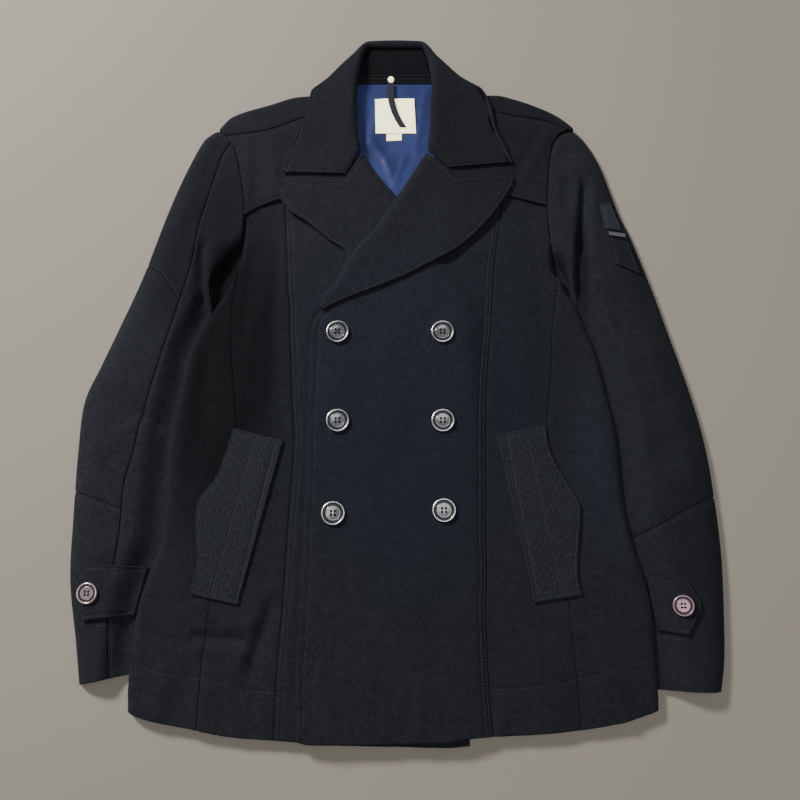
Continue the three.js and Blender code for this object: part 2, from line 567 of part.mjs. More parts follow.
// The back lies flat on the surface, inside the rolled side edges and clear of the sleeves.
function addBack() {
  const inset = (rows) => through(rows, 'y', 'gap');
  const rightInset = inset([
    { y: -380, gap: 6 }, { y: -366, gap: 6 }, { y: -350, gap: 12.8 }, { y: 42, gap: 12.8 },
    { y: 64, gap: 6.4 }, { y: 162, gap: 6 }, { y: 192, gap: -0.9 }, { y: 277, gap: -0.9 },
  ]);
  const leftInset = inset([
    { y: -380, gap: 12.8 }, { y: 42, gap: 12.8 }, { y: 64, gap: 8 }, { y: 92, gap: 8 }, { y: 129, gap: 6.4 },
    { y: 160, gap: -0.9 }, { y: 277, gap: -0.9 },
  ]);
  const hem = through(HEM_ROWS, 'x', 'back');
  const start = (y) => rightSide(y) + rightInset(y);
  const end = (y) => leftSide(y) - leftInset(y);
  const INSIDE_SHOULDER = 6.5;
  const NECK_HALF = 55;
  const shoulder = (x) => {
    const atNeck = smooth(NECK_HALF - Math.abs(x - NECK.middle), 0, 8);
    return lerp(shoulderLine(x) - INSIDE_SHOULDER, NECK.seam, atNeck);
  };
  const rows = [0, 0.04, 0.08, 0.18, 0.27, 0.37, 0.5, 0.6, 0.66, 0.72, 0.78, 0.83, 0.88, 0.93, 0.97, 1];
  sheet({
    name: 'back',
    plan: panelPlan({ start, end, bottom: hem, top: shoulder }),
    top: () => BACK_CLOTH,
    rows,
    flats: [0.08, 0.17, 0.26, 0.345, 0.375, 0.5, 0.62, 0.65, 0.74, 0.83, 0.92],
    cloth: BACK_CLOTH,
    level: true,
  });
  sheet({
    name: 'back_lining',
    finish: 'lining',
    plan: coons({
      start: curved([[-20, 184], [-44, 215], [-56, 250], [-58, 300], [-54, NECK.seam]]),
      end: curved([[12, 184], [36, 215], [46, 250], [48, 300], [47, NECK.seam]]),
      bottom: bent([[-20, 184], [12, 184]]),
      top: bent([[-54, NECK.seam], [47, NECK.seam]]),
    }),
    top: () => LINING_TOP,
    rows: 5,
    flats: 4,
    cloth: LINING_CLOTH,
  });
}

// Height of a body piece with a side edge that rolls down to a base that varies with y.
function rolledSide(top, base) {
  return ({ x, y, fromStart, fromEnd, width }, side) => {
    const away = side === 'start' ? fromStart : fromEnd;
    const high = top(x, y);
    const low = Math.min(base(y), high);
    return low + (high - low) * roundUp(away, rimRadius(width));
  };
}
const rimRadius = (width) => Math.min(SIDE_ROLL, 0.55 * width);

function addFronts() {
  const tuckedBase = {
    right: [[-380, 0], [-370, 0], [-354, TUCK_CLEAR], [54, TUCK_CLEAR], [72, 0], [100, 0]],
    left: [[-380, TUCK_CLEAR], [54, TUCK_CLEAR], [72, 0], [100, 0]],
  };
  const armBase = {
    right: [[60, FRONT_TOP], [98, FRONT_TOP], [114, 0], [148, 0], [164, 8]],
    left: [[60, FRONT_TOP], [86, FRONT_TOP], [98, 0], [112, 0], [128, 9.6]],
  };
  const asLine = (pairs) => through(table(['y', 'z'], pairs), 'y', 'z');
  const side = {
    right: rolledSide(underTop, asLine(tuckedBase.right)),
    left: rolledSide(upperTop, asLine(tuckedBase.left)),
  };
  const arm = {
    right: rolledSide(underTop, asLine(armBase.right)),
    left: rolledSide(upperTop, asLine(armBase.left)),
  };
  const half = SEAM / 2;
  const UNDER_YOKE = 8; // how far the fronts go under the yokes
  const RIGHT_SIDE_TOP = 97;
  const LEFT_SIDE_TOP = 88;
  const underLap = (x) => yokeEdge(x) + UNDER_YOKE;
  sheet({
    name: 'front_right_side',
    plan: panelPlan({
      start: rightSide,
      end: column('rightPocketSeam', -half),
      bottom: underHem,
      top: () => RIGHT_SIDE_TOP,
    }),
    top: (place) => side.right(place, 'start'),
    rows: 22,
    flats: 3,
    cloth: (v, width) => Math.min(FRONT_CLOTH, 0.36 * width),
    startRim: (v, width) => rimRadius(width),
  });
  sheet({
    name: 'front_right_middle',
    plan: panelPlan({
      start: column('rightPocketSeam', half),
      end: column('rightSeam', -half),
      bottom: underHem,
      top: underLap,
    }),
    top: (place) => arm.right(place, 'start'),
    rows: 24,
    flats: 3,
    cloth: FRONT_CLOTH,
    startRim: (v, width) => rimRadius(width),
  });
  sheet({
    name: 'front_right_centre',
    plan: panelPlan({ start: column('rightSeam', half), end: underEdge, bottom: underHem, top: underLap }),
    top: ({ x, y }) => underTop(x, y),
    rows: 24,
    flats: 6,
    cloth: FRONT_CLOTH,
  });
  sheet({
    name: 'front_left_centre',
    plan: atOverlap(panelPlan({
      start: freeEdge,
      end: column('leftSeam', -half),
      bottom: upperHem,
      top: underLap,
    })),
    top: ({ x, y }) => upperTop(x, y),
    rows: 24,
    flats: 9,
    cloth: FRONT_CLOTH,
  });
  sheet({
    name: 'front_left_middle',
    plan: panelPlan({
      start: column('leftSeam', half),
      end: column('leftPocketSeam', -half),
      bottom: upperHem,
      top: underLap,
    }),
    top: (place) => arm.left(place, 'end'),
    rows: 24,
    flats: 4,
    cloth: FRONT_CLOTH,
    endRim: (v, width) => rimRadius(width),
  });
  sheet({
    name: 'front_left_side',
    plan: panelPlan({
      start: column('leftPocketSeam', half),
      end: leftSide,
      bottom: upperHem,
      top: () => LEFT_SIDE_TOP,
    }),
    top: (place) => side.left(place, 'end'),
    rows: 22,
    flats: 3,
    cloth: (v, width) => Math.min(FRONT_CLOTH, 0.36 * width),
    endRim: (v, width) => rimRadius(width),
  });
}

// The yokes lie over the fronts' upper ends, and the shoulder strips come over from the back.
function addShoulders() {
  const half = SEAM / 2;
  const yoke = (name, start, end) => sheet({
    name,
    plan: panelPlan({ start, end, bottom: yokeEdge, top: (x) => shoulderSeam(x) - SEAM }),
    top: () => YOKE_TOP,
    rows: 9,
    flats: 9,
    cloth: YOKE_CLOTH,
  });
  const neckLine = (rows) => through(table(['y', 'x'], rows), 'y', 'x');
  const neckRight = neckLine([[180, -30], [225, -50], [250, NECK.yokeRight], [310, NECK.yokeRight]]);
  const neckLeft = neckLine([[180, 34], [225, 36], [250, NECK.yokeLeft], [310, NECK.yokeLeft]]);
  yoke('yoke_right', (y) => rightSide(y) + half, neckRight);
  yoke('yoke_left', neckLeft, (y) => leftSide(y) - half);
  const strip = (name, armX, neckX) => {
    const turn = Math.sign(armX);
    const seam = (t) => {
      const x = lerp(armX - turn * 6, neckX, t);
      return [x, shoulderSeam(x) + SEAM];
    };
    const line = acrossLine(shoulderLine, armX, neckX);
    sheet({
      name,
      plan: coons({
        start: seam,
        end: line,
        bottom: bent([seam(0), line(0)]),
        top: bent([seam(1), line(1)]),
      }),
      top: ({ fromEnd, width }) => YOKE_TOP * roundUp(fromEnd, Math.min(SIDE_ROLL, 0.6 * width)),
      rows: 12,
      flats: 2,
      cloth: (v, width) => Math.min(BACK_CLOTH, 0.28 * width),
      endRim: (v, width) => Math.min(SIDE_ROLL, 0.6 * width),
    });
  };
  strip('shoulder_right', -209, -NECK.stripEnd);
  strip('shoulder_left', 204, NECK.stripEnd - 4);
}

// Lapels turn back from their roll lines, and the roll stands a little higher than the rest.
function addLapels() {
  const ROLL = 8;
  const SWELL = 1.4;
  const swell = (away) => SWELL * Math.exp(-(((away - ROLL) / 16) ** 2));
  const rolled = (flat, fold) => ({ x, y, fromStart, width }) => {
    const { base, shown } = fold(y);
    const radius = Math.min(ROLL, 0.45 * width);
    const high = flat(x) + shown * swell(fromStart) * clamp(width / 60, 0, 1);
    return lerp(high, base, shown * (1 - roundUp(fromStart, radius)));
  };
  const lapel = (name, outline, flat, fold, rows, flats) => {
    sheet({
      name,
      plan: coons({
        start: curved(outline.roll),
        end: curved(outline.outer),
        bottom: bent([outline.roll[0], outline.outer[0]]),
        top: bent(outline.top),
      }),
      top: rolled(flat, fold),
      rows,
      flats,
      cloth: (v, width) => Math.min(LAPEL_CLOTH, 0.3 * width),
      startRim: (v, width) => Math.min(ROLL, 0.45 * width),
    });
  };
  const right = { ...RIGHT_LAPEL, top: [...RIGHT_LAPEL.top].reverse() };
  right.top[0] = right.roll.at(-1);
  const hidden = (y) => ({ base: 9.4, shown: smooth(y, 182, 198) });
  lapel('lapel_right', right, () => RIGHT_LAPEL_TOP, hidden, 12, 5);
  lapel('lapel_left', LEFT_LAPEL, leftLapelTop, () => ({ base: RIGHT_LAPEL_TOP + 0.6, shown: 1 }), 15, 6);
}

function addCollar() {
  const columns = Object.fromEntries(
    ['nearX', 'nearY', 'farX', 'farY', 'lip', 'crest', 'edge'].map((key) => {
      const rows = COLLAR_ROWS.map((row, k) => ({ k, value: row[key] }));
      return [key, through(rows, 'k', 'value')];
    }),
  );
  const last = COLLAR_ROWS.length - 1;
  const plan = (u, v) => {
    const k = v * last;
    return [lerp(columns.nearX(k), columns.farX(k), u), lerp(columns.nearY(k), columns.farY(k), u)];
  };
  const CREST_AT = 7;
  const OUTER_ROLL = 9;
  const top = ({ v, fromStart, fromEnd, width }) => {
    const k = v * last;
    const [lip, crest, edge] = [columns.lip(k), columns.crest(k), columns.edge(k)];
    const near = Math.min(CREST_AT, 0.4 * width);
    const slack = (crest - LEAF_TOP) * Math.exp(-((Math.max(fromStart - near, 0) / 22) ** 2));
    const high = LEAF_TOP + slack;
    const inner = lip + (high - lip) * roundUp(fromStart, near);
    return edge + (inner - edge) * roundUp(fromEnd, Math.min(OUTER_ROLL, 0.6 * width));
  };
  sheet({
    name: 'collar',
    plan,
    top,
    rows: 1.5 * last,
    flats: 3,
    cloth: LAPEL_CLOTH,
    startRim: (v, width) => Math.min(CREST_AT, 0.4 * width),
    endRim: (v, width) => Math.min(OUTER_ROLL, 0.5 * width),
  });
  sheet({
    name: 'collar_stand',
    plan: coons({
      start: bent([[-50.5, STAND.low], [-47.8, 358], [-42.5, 370], [-32.5, STAND.high]]),
      end: bent([[44.3, STAND.low], [41.8, 358], [36.5, 370], [26.5, STAND.high]]),
      bottom: bent([[-50.5, STAND.low], [44.3, STAND.low]]),
      top: bent([[-32.5, STAND.high], [26.5, STAND.high]]),
    }),
    top: ({ y }) => standHeight(y),
    rows: 4,
    flats: 6,
    cloth: STAND.cloth,
  });
}

// One sleeve as a flattened tube: rounded outside, and tucked under the body inside.
function sleeveSurface({ outer, inner, rows, folds, side }) {
  const columns = ['height', 'roll', 'end', 'rolled'];
  const line = Object.fromEntries(columns.map((key) => [key, through(rows, 'v', key)]));
  const away = Math.sign(side(0));
  const [high, low] = [outer.at(-1), inner.at(-1)];
  const armhole = upLine((y) => side(y) + away * ARMHOLE_GAP, high[1], low[1]);
  const plan = coons({
    start: curved([...outer.slice(0, -1), armhole(0)]),
    end: curved([...inner.slice(0, -1), armhole(1)]),
    bottom: bent([outer[0], inner[0]]),
    top: armhole,
  });
  const INNER_SPAN = 32;
  const RISE = { from: 4, to: 31 }; // how far outside the body's edge the sleeve comes up to its height
  const top = ({ x, y, v, fromStart, fromEnd, width }) => {
    const height = line.height(v);
    const span = Math.min(INNER_SPAN, 0.4 * width);
    const end = line.end(v);
    const outerShare = roundUp(fromStart, Math.min(line.roll(v), 0.4 * width));
    const round = roundUp(fromEnd, 0.7 * span);
    const tucked = smooth(away * (x - side(y)), RISE.from, RISE.to);
    const share = lerp(tucked, round, line.rolled(v));
    const mask = smooth(fromStart, 3, 22) * smooth(fromEnd, TUCK + 2, 24);
    const folded = mask * Math.min(2 * share, 1) * foldHeight(folds, x, y);
    return outerShare * (end + (height - end) * share) + folded;
  };
  const rims = {
    startRim: (v, width) => Math.min(line.roll(v), 0.4 * width),
    endRim: (v, width) => 0.7 * Math.min(INNER_SPAN, 0.4 * width),
  };
  return { plan, top, rims };
}

// Steps along an under sleeve, closest where its edge follows the armpit.
const UNDER_SLEEVE_STEPS = [
  0, 0.12, 0.24, 0.36, 0.48, 0.58, 0.66, 0.72, 0.76, 0.79, 0.82, 0.85, 0.88, 0.91, 0.94, 0.97, 1,
];

// The under sleeve lies flat inside the sleeve's outline, clear of its rolled outer edge. Inside it
// reaches under the body's side, and at the armpit up to it.
function addUnderSleeve(name, { outer, inner, side, armpit }) {
  const away = Math.sign(side(0));
  const CLEAR = SLEEVE_CLOTH + 2.2;
  const UNDER_BODY = TUCK - 0.4;
  const BESIDE_BODY = 0.5;
  const BESIDE_BACK = 1.3;
  const [outside, inside] = [curved(outer), curved(inner)];
  const start = (t) => {
    const at = 0.965 * t;
    const [p, q] = [outside(Math.max(at - 0.01, 0)), outside(at + 0.01)];
    const [x, y] = outside(at);
    const length = Math.hypot(q[0] - p[0], q[1] - p[1]);
    return [x - (away * CLEAR * (q[1] - p[1])) / length, y + (away * CLEAR * (q[0] - p[0])) / length];
  };
  const sideLine = (y) => {
    const beside = lerp(BESIDE_BODY, BESIDE_BACK, smooth(y, armpit, armpit + 18));
    return side(y) + away * lerp(-UNDER_BODY, beside, smooth(y, 28, 60));
  };
  const end = (t) => {
    const y = inside(t)[1];
    return [sideLine(y), y];
  };
  const [high, low] = [start(1)[1] - 2, end(1)[1] + 4];
  const armhole = Array.from({ length: 8 }, (_, k) => lerp(high, low, k / 7)).map((y) => [sideLine(y), y]);
  sheet({
    name,
    plan: coons({
      start,
      end,
      bottom: bent([start(0), end(0)]),
      top: bent([start(1), ...armhole, end(1)]),
    }),
    top: () => UNDER_SLEEVE_CLOTH,
    rows: UNDER_SLEEVE_STEPS,
    flats: 4,
    cloth: UNDER_SLEEVE_CLOTH,
    level: true,
  });
}

// A cell of a sleeve between two long lines and two cross seams, each given as shares.
function sleeveCell(name, sleeve, { from, to, low, high, rows, flats, startRim, endRim }) {
  const whole = face(sleeve.plan, sleeve.top);
  const at = (v) => lerp(low, high, v);
  const plan = (u, v) => sleeve.plan(lerp(from(at(v)), to(at(v)), u), at(v));
  const top = ({ u, v }) => whole.point(lerp(from(at(v)), to(at(v)), u), at(v)).z;
  sheet({ name, plan, top, rows, flats, cloth: SLEEVE_CLOTH, startRim, endRim });
}

function addSleeves() {
  const rightLines = { outer: RIGHT_OUTER, inner: RIGHT_INNER, side: rightSide, armpit: 150 };
  const right = sleeveSurface({ ...rightLines, rows: RIGHT_SLEEVE_ROWS, folds: RIGHT_SLEEVE_FOLDS });
  const share = through(RIGHT_SLEEVE_ROWS, 'v', 'seam');
  const widthAt = face(right.plan, right.top).width;
  const gap = (v) => SEAM / widthAt(v);
  const cross = 0.0003; // half the gap of a cross seam, as a share of the length
  const outside = { from: () => 0, to: (v) => share(v) - gap(v) };
  const rightRim = (v) => right.rims.startRim(v, widthAt(v));
  const { elbow, upperArm } = RIGHT_CROSS_SEAMS;
  const strips = [
    { name: 'sleeve_right_forearm', low: 0, high: elbow - cross, rows: 8 },
    { name: 'sleeve_right_elbow', low: elbow + cross, high: upperArm - cross, rows: 11 },
    { name: 'sleeve_right_upper_arm', low: upperArm + cross, high: 1, rows: 8 },
  ];
  const rowsOf = ({ low, high, rows }) => {
    return Array.from({ length: rows }, (_, k) => lerp(low, high, (k + 1) / rows));
  };
  for (const { name, low, high, rows } of strips) {
    const rim = (v, width) => Math.min(rightRim(lerp(low, high, v)), 0.75 * width);
    sleeveCell(name, right, { ...outside, low, high, rows, flats: 2, startRim: rim });
  }
  sleeveCell('sleeve_right_inner', right, {
    from: (v) => share(v) + gap(v),
    to: () => 1,
    low: 0,
    high: 1,
    flats: 4,
    rows: [0, ...strips.flatMap(rowsOf)],
    endRim: (v, width) => Math.min(right.rims.endRim(v, 2 * width), 0.6 * width),
  });
  addUnderSleeve('sleeve_right_under', rightLines);

  const leftLines = { outer: LEFT_OUTER, inner: LEFT_INNER, side: leftSide, armpit: 114 };
  const left = sleeveSurface({ ...leftLines, rows: LEFT_SLEEVE_ROWS, folds: LEFT_SLEEVE_FOLDS });
  const cells = [
    { name: 'sleeve_left_forearm', low: 0, high: LEFT_CROSS_SEAM - cross, rows: 8 },
    { name: 'sleeve_left_upper', low: LEFT_CROSS_SEAM + cross, high: 1, rows: 22 },
  ];
  for (const { name, low, high, rows } of cells) {
    sleeveCell(name, left, {
      from: () => 0, to: () => 1, low, high, rows, flats: 6,
      startRim: (v, width) => left.rims.startRim(lerp(low, high, v), width),
      endRim: (v, width) => left.rims.endRim(lerp(low, high, v), width),
    });
  }
  addUnderSleeve('sleeve_left_under', leftLines);
  return { right, left };
}

const on = (sleeve) => {
  const surface = face(sleeve.plan, sleeve.top);
  return (x, y) => {
    const [u, v] = locate(sleeve.plan, x, y);
    return { at: surface.point(u, v), out: surface.out(u, v) };
  };
};

function between(lower, upper) {
  const [low, high] = [bent(lower), bent(upper)];
  return (u, v) => low(u).map((n, k) => lerp(n, high(u)[k], v));
}

function addSleeveTrim({ right, left }) {
  const tab = (name, sleeve, outline) => overlay({
    name,
    finish: 'wool',
    plan: between(outline.lower, outline.upper),
    on: on(sleeve),
    rows: 6,
    columns: 10,
    cloth: TAB_CLOTH,
    rest: TAB_REST,
  });
  tab('cuff_tab_right', right, RIGHT_TAB);
  tab('cuff_tab_left', left, LEFT_TAB);
  const small = (name, finish, outline, cloth) => overlay({
    name,
    finish,
    plan: between(outline.lower, outline.upper),
    on: on(left),
    rows: 5,
    columns: 5,
    cloth,
  });
  small('sleeve_badge', 'pocketCloth', BADGE, 1.2);
  small('sleeve_pocket', 'wool', SLEEVE_POCKET, 1.8);
  addBar(on(left));
  const seat = TAB_REST + TAB_CLOTH;
  addButton('cuff_button_right', 'cuffButton', CUFF_BUTTON, on(right)(-314, -258), seat);
  addButton('cuff_button_left', 'cuffButton', CUFF_BUTTON, on(left)(290, -270), seat);
}

function turnTo(out) {
  return new THREE.Quaternion().setFromUnitVectors(new THREE.Vector3(0, 0, 1), out);
}

function addBar(surface) {
  const { x, y, length, width, height, groove } = SLEEVE_BAR;
  const third = width / 6;
  const profile = new THREE.Shape([
    [-width / 2, 0], [width / 2, 0], [width / 2, height], [third, height], [third, height - groove],
    [-third, height - groove], [-third, height], [-width / 2, height],
  ].map(([a, b]) => new THREE.Vector2(a, b)));
  const geometry = new THREE.ExtrudeGeometry(profile, { depth: length, bevelEnabled: false });
  geometry.translate(0, 0, -length / 2);
  geometry.rotateX(Math.PI / 2);
  geometry.rotateZ(Math.PI / 2);
  const { at, out } = surface(x, y);
  const mesh = new THREE.Mesh(geometry, materials.metal);
  mesh.name = 'sleeve_bar';
  mesh.quaternion.copy(turnTo(out));
  mesh.position.copy(at).addScaledVector(out, REST);
  coat.add(mesh);
}

// A closed shape made ready for cutting.
function solidOf(geometry) {
  const bare = geometry.index ? geometry.toNonIndexed() : geometry.clone();
  bare.deleteAttribute('normal');
  bare.deleteAttribute('uv');
  const merged = mergeVertices(bare, 1e-4);
  return new wasm.Manifold(new wasm.Mesh({
    numProp: 3,
    vertProperties: new Float32Array(merged.attributes.position.array),
    triVerts: new Uint32Array(merged.index.array),
  }));
}

// A button with a raised rim, a dished middle and four holes.
function buttonGeometry({ radius, height, hole, spread, sides }) {
  const profile = [
    [0, 0.3], [0.72, 0.3], [0.94, 0.5], [1, 0.72], [0.94, 0.95], [0.82, 1], [0.7, 0.9],
    [0.6, 0.62], [0, 0.56],
  ].map(([r, z]) => new THREE.Vector2(r * radius, z * height - 0.3 * height));
  const body = new THREE.LatheGeometry(profile, sides);
  body.rotateX(Math.PI / 2);
  let solid = solidOf(body);
  for (const [a, b] of [[-1, -1], [-1, 1], [1, -1], [1, 1]]) {
    const drill = new THREE.CylinderGeometry(hole, hole, 2 * height, 6);
    drill.rotateX(Math.PI / 2);
    drill.translate((a * spread) / 2 * 1.4, (b * spread) / 2 * 1.4, height / 2);
    solid = solid.subtract(solidOf(drill));
  }
  const mesh = solid.getMesh();
  const geometry = new THREE.BufferGeometry();
  geometry.setAttribute('position', new THREE.BufferAttribute(mesh.vertProperties, 3));
  geometry.setIndex(new THREE.BufferAttribute(mesh.triVerts, 1));
  geometry.computeVertexNormals();
  return geometry;
}

function addButton(name, finish, sizes, { at, out }, seat) {
  const mesh = new THREE.Mesh(buttonGeometry(sizes), materials[finish]);
  mesh.name = name;
  mesh.quaternion.copy(turnTo(out));
  mesh.position.copy(at).addScaledVector(out, seat + REST);
  coat.add(mesh);
}

function addPocketsAndButtons() {
  const pocket = (name, { inner, outer }, top) => overlay({
    name,
    finish: 'pocketCloth',
    plan: coons({
      start: curved(outer),
      end: bent(inner),
      bottom: bent([outer[0], inner[0]]),
      top: bent([outer.at(-1), inner.at(-1)]),
    }),
    on: flatOn(top),
    rows: 14,
    columns: 4,
    cloth: POCKET_CLOTH,
  });
  pocket('pocket_right', RIGHT_POCKET, underTop);
  pocket('pocket_left', LEFT_POCKET, upperTop);
  for (const { name, x, y } of FRONT_BUTTONS) addButton(name, 'button', BUTTON, flatOn(upperTop)(x, y), 0);
}

function addNeckTrim() {
  const patch = (name, finish, [a, b, c, d], level, cloth, rows, columns) => overlay({
    name,
    finish,
    plan: coons({ start: bent([a, d]), end: bent([b, c]), bottom: bent([a, b]), top: bent([d, c]) }),
    on: flatOn(() => level),
    rows,
    columns,
    cloth,
  });
  const LABEL_CLOTH = 0.8;
  patch('neck_label', 'label', LABEL, LINING_TOP, LABEL_CLOTH, 2, 2);
  patch('size_tab', 'label', SIZE_TAB, LINING_TOP, 0.6, 1, 1);
  const line = curved(LOOP_LINE);
  const HALF_LOOP = 4;
  const level = LINING_TOP + REST + LABEL_CLOTH;
  overlay({
    name: 'hanger_loop',
    finish: 'loop',
    plan: (u, v) => [line(v)[0] + lerp(-HALF_LOOP, HALF_LOOP, u), line(v)[1]],
    on: flatOn(() => level),
    rows: 8,
    columns: 2,
    cloth: 1,
  });
  const dome = [[0, 0], [1, 0], [0.9, 0.35], [0.6, 0.55], [0, 0.66]];
  const outline = dome.map(([r, z]) => new THREE.Vector2(r * DOT.radius, z * DOT.radius));
  const bead = new THREE.LatheGeometry(outline, 12);
  bead.rotateX(Math.PI / 2);
  const slope = (STAND.head - STAND.foot) / (STAND.high - STAND.low);
  const out = new THREE.Vector3(0, -slope, 1).normalize();
  const mesh = new THREE.Mesh(bead, materials.label);
  mesh.name = 'loop_dot';
  mesh.quaternion.copy(turnTo(out));
  mesh.position.set(DOT.x, DOT.y, standHeight(DOT.y)).addScaledVector(out, REST);
  coat.add(mesh);
}

addBack();
addFronts();
addShoulders();
addLapels();
addCollar();
addSleeveTrim(addSleeves());
addPocketsAndButtons();
addNeckTrim();

// The origin is under the middle of the coat's box.
coat.updateMatrixWorld(true);
const box = new THREE.Box3().setFromObject(coat, true);
coat.position.set(-(box.min.x + box.max.x) / 2, -(box.min.y + box.max.y) / 2, -box.min.z);

export default coat;
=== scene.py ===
# %% [markdown]
# A double-breasted pea coat, laid flat and seen from above.
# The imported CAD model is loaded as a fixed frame. Every cloth piece is made again here as a fine, soft sheet
# on the same plan, so that it can carry folds, rounded edges and stitching that the plain solids don't have.

# %% Load the frame
import json
import math

import bpy
import numpy as np
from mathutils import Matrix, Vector

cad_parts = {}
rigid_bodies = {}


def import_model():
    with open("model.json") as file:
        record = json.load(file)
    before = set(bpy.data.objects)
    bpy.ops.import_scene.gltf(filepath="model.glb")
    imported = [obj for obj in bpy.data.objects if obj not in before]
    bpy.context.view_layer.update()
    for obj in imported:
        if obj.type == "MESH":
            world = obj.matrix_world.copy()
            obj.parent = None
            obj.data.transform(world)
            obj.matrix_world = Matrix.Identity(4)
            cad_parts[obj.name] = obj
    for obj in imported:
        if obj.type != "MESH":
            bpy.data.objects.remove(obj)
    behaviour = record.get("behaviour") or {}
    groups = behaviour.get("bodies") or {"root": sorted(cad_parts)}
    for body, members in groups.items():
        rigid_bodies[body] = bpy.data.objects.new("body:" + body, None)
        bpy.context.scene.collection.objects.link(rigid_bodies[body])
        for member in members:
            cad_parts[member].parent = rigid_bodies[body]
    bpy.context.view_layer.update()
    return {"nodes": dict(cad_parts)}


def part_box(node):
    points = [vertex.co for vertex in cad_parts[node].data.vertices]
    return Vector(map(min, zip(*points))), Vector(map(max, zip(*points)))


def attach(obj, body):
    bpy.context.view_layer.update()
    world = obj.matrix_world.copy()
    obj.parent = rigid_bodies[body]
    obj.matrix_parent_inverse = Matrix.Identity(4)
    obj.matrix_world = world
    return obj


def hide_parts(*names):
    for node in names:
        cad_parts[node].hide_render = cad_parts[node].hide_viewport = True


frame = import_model()
MM = 0.001
LABEL_CORNER = (-27.0, 273.0)  # where the pattern puts the lower corner of the neck label
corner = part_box("neck_label")[0]
SHIFT = np.array([corner.x / MM - LABEL_CORNER[0], corner.y / MM - LABEL_CORNER[1]])
print("pattern to frame, mm:", SHIFT.round(2))

# %% [markdown]
# Short words for what many cells do: read a table, put a thing into the scene, and say what it stands for.

# %% Helpers for the scene
def table(columns, rows):
    names = columns.split()
    return [dict(zip(names, row)) for row in rows]


def on_plan(x, y):
    """Metres in the frame for a place on the pattern."""
    return (x + SHIFT[0]) * MM, (y + SHIFT[1]) * MM


def into_scene(name, data):
    thing = bpy.data.objects.new(name, data)
    bpy.context.scene.collection.objects.link(thing)
    return thing


def smooth_faces(mesh):
    mesh.polygons.foreach_set("use_smooth", [True] * len(mesh.polygons))


def stands_for(piece, node):
    """The piece rides on the coat's one body. It may take the place of a CAD node."""
    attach(piece, "root")
    if node:
        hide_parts(node)


def repaint(node, finish):
    """Gives a CAD solid that is shown as it is a finish of its own."""
    mesh = frame["nodes"][node].data
    mesh.materials.clear()
    mesh.materials.append(finish)
    return mesh


print("CAD solids:", len(frame["nodes"]))

# %% [markdown]
# A finish is built out of nodes. It repeats a few steps, such as noise, a ramp of colour, a mix and a bump, and
# it is easier to read and to change when each step is one line.

# %% Helpers for finishes
def feed(tree, node, inputs):
    """Each input gets a plain value, or is joined to the socket that feeds it."""
    for name, value in inputs.items():
        if isinstance(value, bpy.types.NodeSocket):
            tree.links.new(value, node.inputs[name])
        else:
            node.inputs[name].default_value = value


def add(tree, kind, inputs=None, **settings):
    node = tree.nodes.new(kind)
    for name, value in settings.items():
        setattr(node, name, value)
    feed(tree, node, inputs or {})
    return node


def new_material(name, build):
    """build takes the node tree and the texture coordinates, and gives the shader's inputs."""
    material = bpy.data.materials.new(name)
    material.use_nodes = True
    tree = material.node_tree
    where = add(tree, "ShaderNodeTexCoord").outputs
    feed(tree, tree.nodes["Principled BSDF"], build(tree, where))
    print("finish:", name)
    return material


def plain_material(name, colour, roughness, metallic=0):
    return new_material(name, lambda tree, where: {
        "Base Color": (*colour, 1), "Roughness": roughness, "Metallic": metallic})


def noise(tree, place, scale, detail, rough):
    inputs = {"Vector": place, "Scale": scale, "Detail": detail, "Roughness": rough}
    return add(tree, "ShaderNodeTexNoise", inputs).outputs["Fac"]


def ramp(tree, source, stops):
    node = add(tree, "ShaderNodeValToRGB", {"Fac": source})
    elements = node.color_ramp.elements
    for element, (position, colour) in ((elements[0], stops[0]), (elements[1], stops[-1])):
        element.position, element.color = position, (*colour, 1)
    for position, colour in stops[1:-1]:
        elements.new(position).color = (*colour, 1)
    return node.outputs["Color"]


def mix(tree, kind, factor, a, b, blend="MIX"):
    inputs = {"Factor": factor, "A": a, "B": b}
    return add(tree, "ShaderNodeMix", inputs, data_type=kind, blend_type=blend).outputs["Result"]


def bump(tree, height, strength, distance, before=None):
    inputs = {"Height": height, "Strength": strength, "Distance": distance}
    if before is not None:
        inputs["Normal"] = before
    return add(tree, "ShaderNodeBump", inputs).outputs["Normal"]


FLOOR_COLOUR = (0.30, 0.270, 0.222)
FLOOR_PAINT = plain_material("floor_paint", FLOOR_COLOUR, 0.9)

# %% [markdown]
# The camera comes first. The photograph was taken standing over the coat with the camera tipped a little
# toward the hem, so the hem looks wider than the shoulders. Height, tilt and lens were worked out from the
# known plan. The coat isn't moved to fit the picture. The floor is plain and pale. One soft lamp stands up
# and to the left, as the shadows in the photograph ask, and a broad, weak one over the coat fills its shadows.

# %% Camera, floor and light
CAMERA_HEIGHT = 0.825
CAMERA_TILT = 13.3
CAMERA_SPOT = (3.0, -247.0)
LENS = 34.65
SENSOR = 36
FLOOR_REACH = 4.0
FLOOR_DEPTH = -0.0005
ROOM_COLOUR = (0.93, 0.95, 1.0, 1)
ROOM_STRENGTH = 0.17

camera_data = bpy.data.cameras.new("camera")
camera_data.lens = LENS
camera_data.sensor_width = SENSOR
camera = into_scene("camera", camera_data)
camera.location = (*on_plan(*CAMERA_SPOT), CAMERA_HEIGHT)
camera.rotation_euler = (math.radians(CAMERA_TILT), 0, 0)
bpy.context.scene.camera = camera

floor_mesh = bpy.data.meshes.new("floor")
floor_corners = [(x * FLOOR_REACH, y * FLOOR_REACH, FLOOR_DEPTH) for x, y in ((-1, -1), (1, -1), (1, 1), (-1, 1))]
floor_mesh.from_pydata(floor_corners, [], [(0, 1, 2, 3)])
floor_mesh.materials.append(FLOOR_PAINT)
into_scene("floor", floor_mesh)


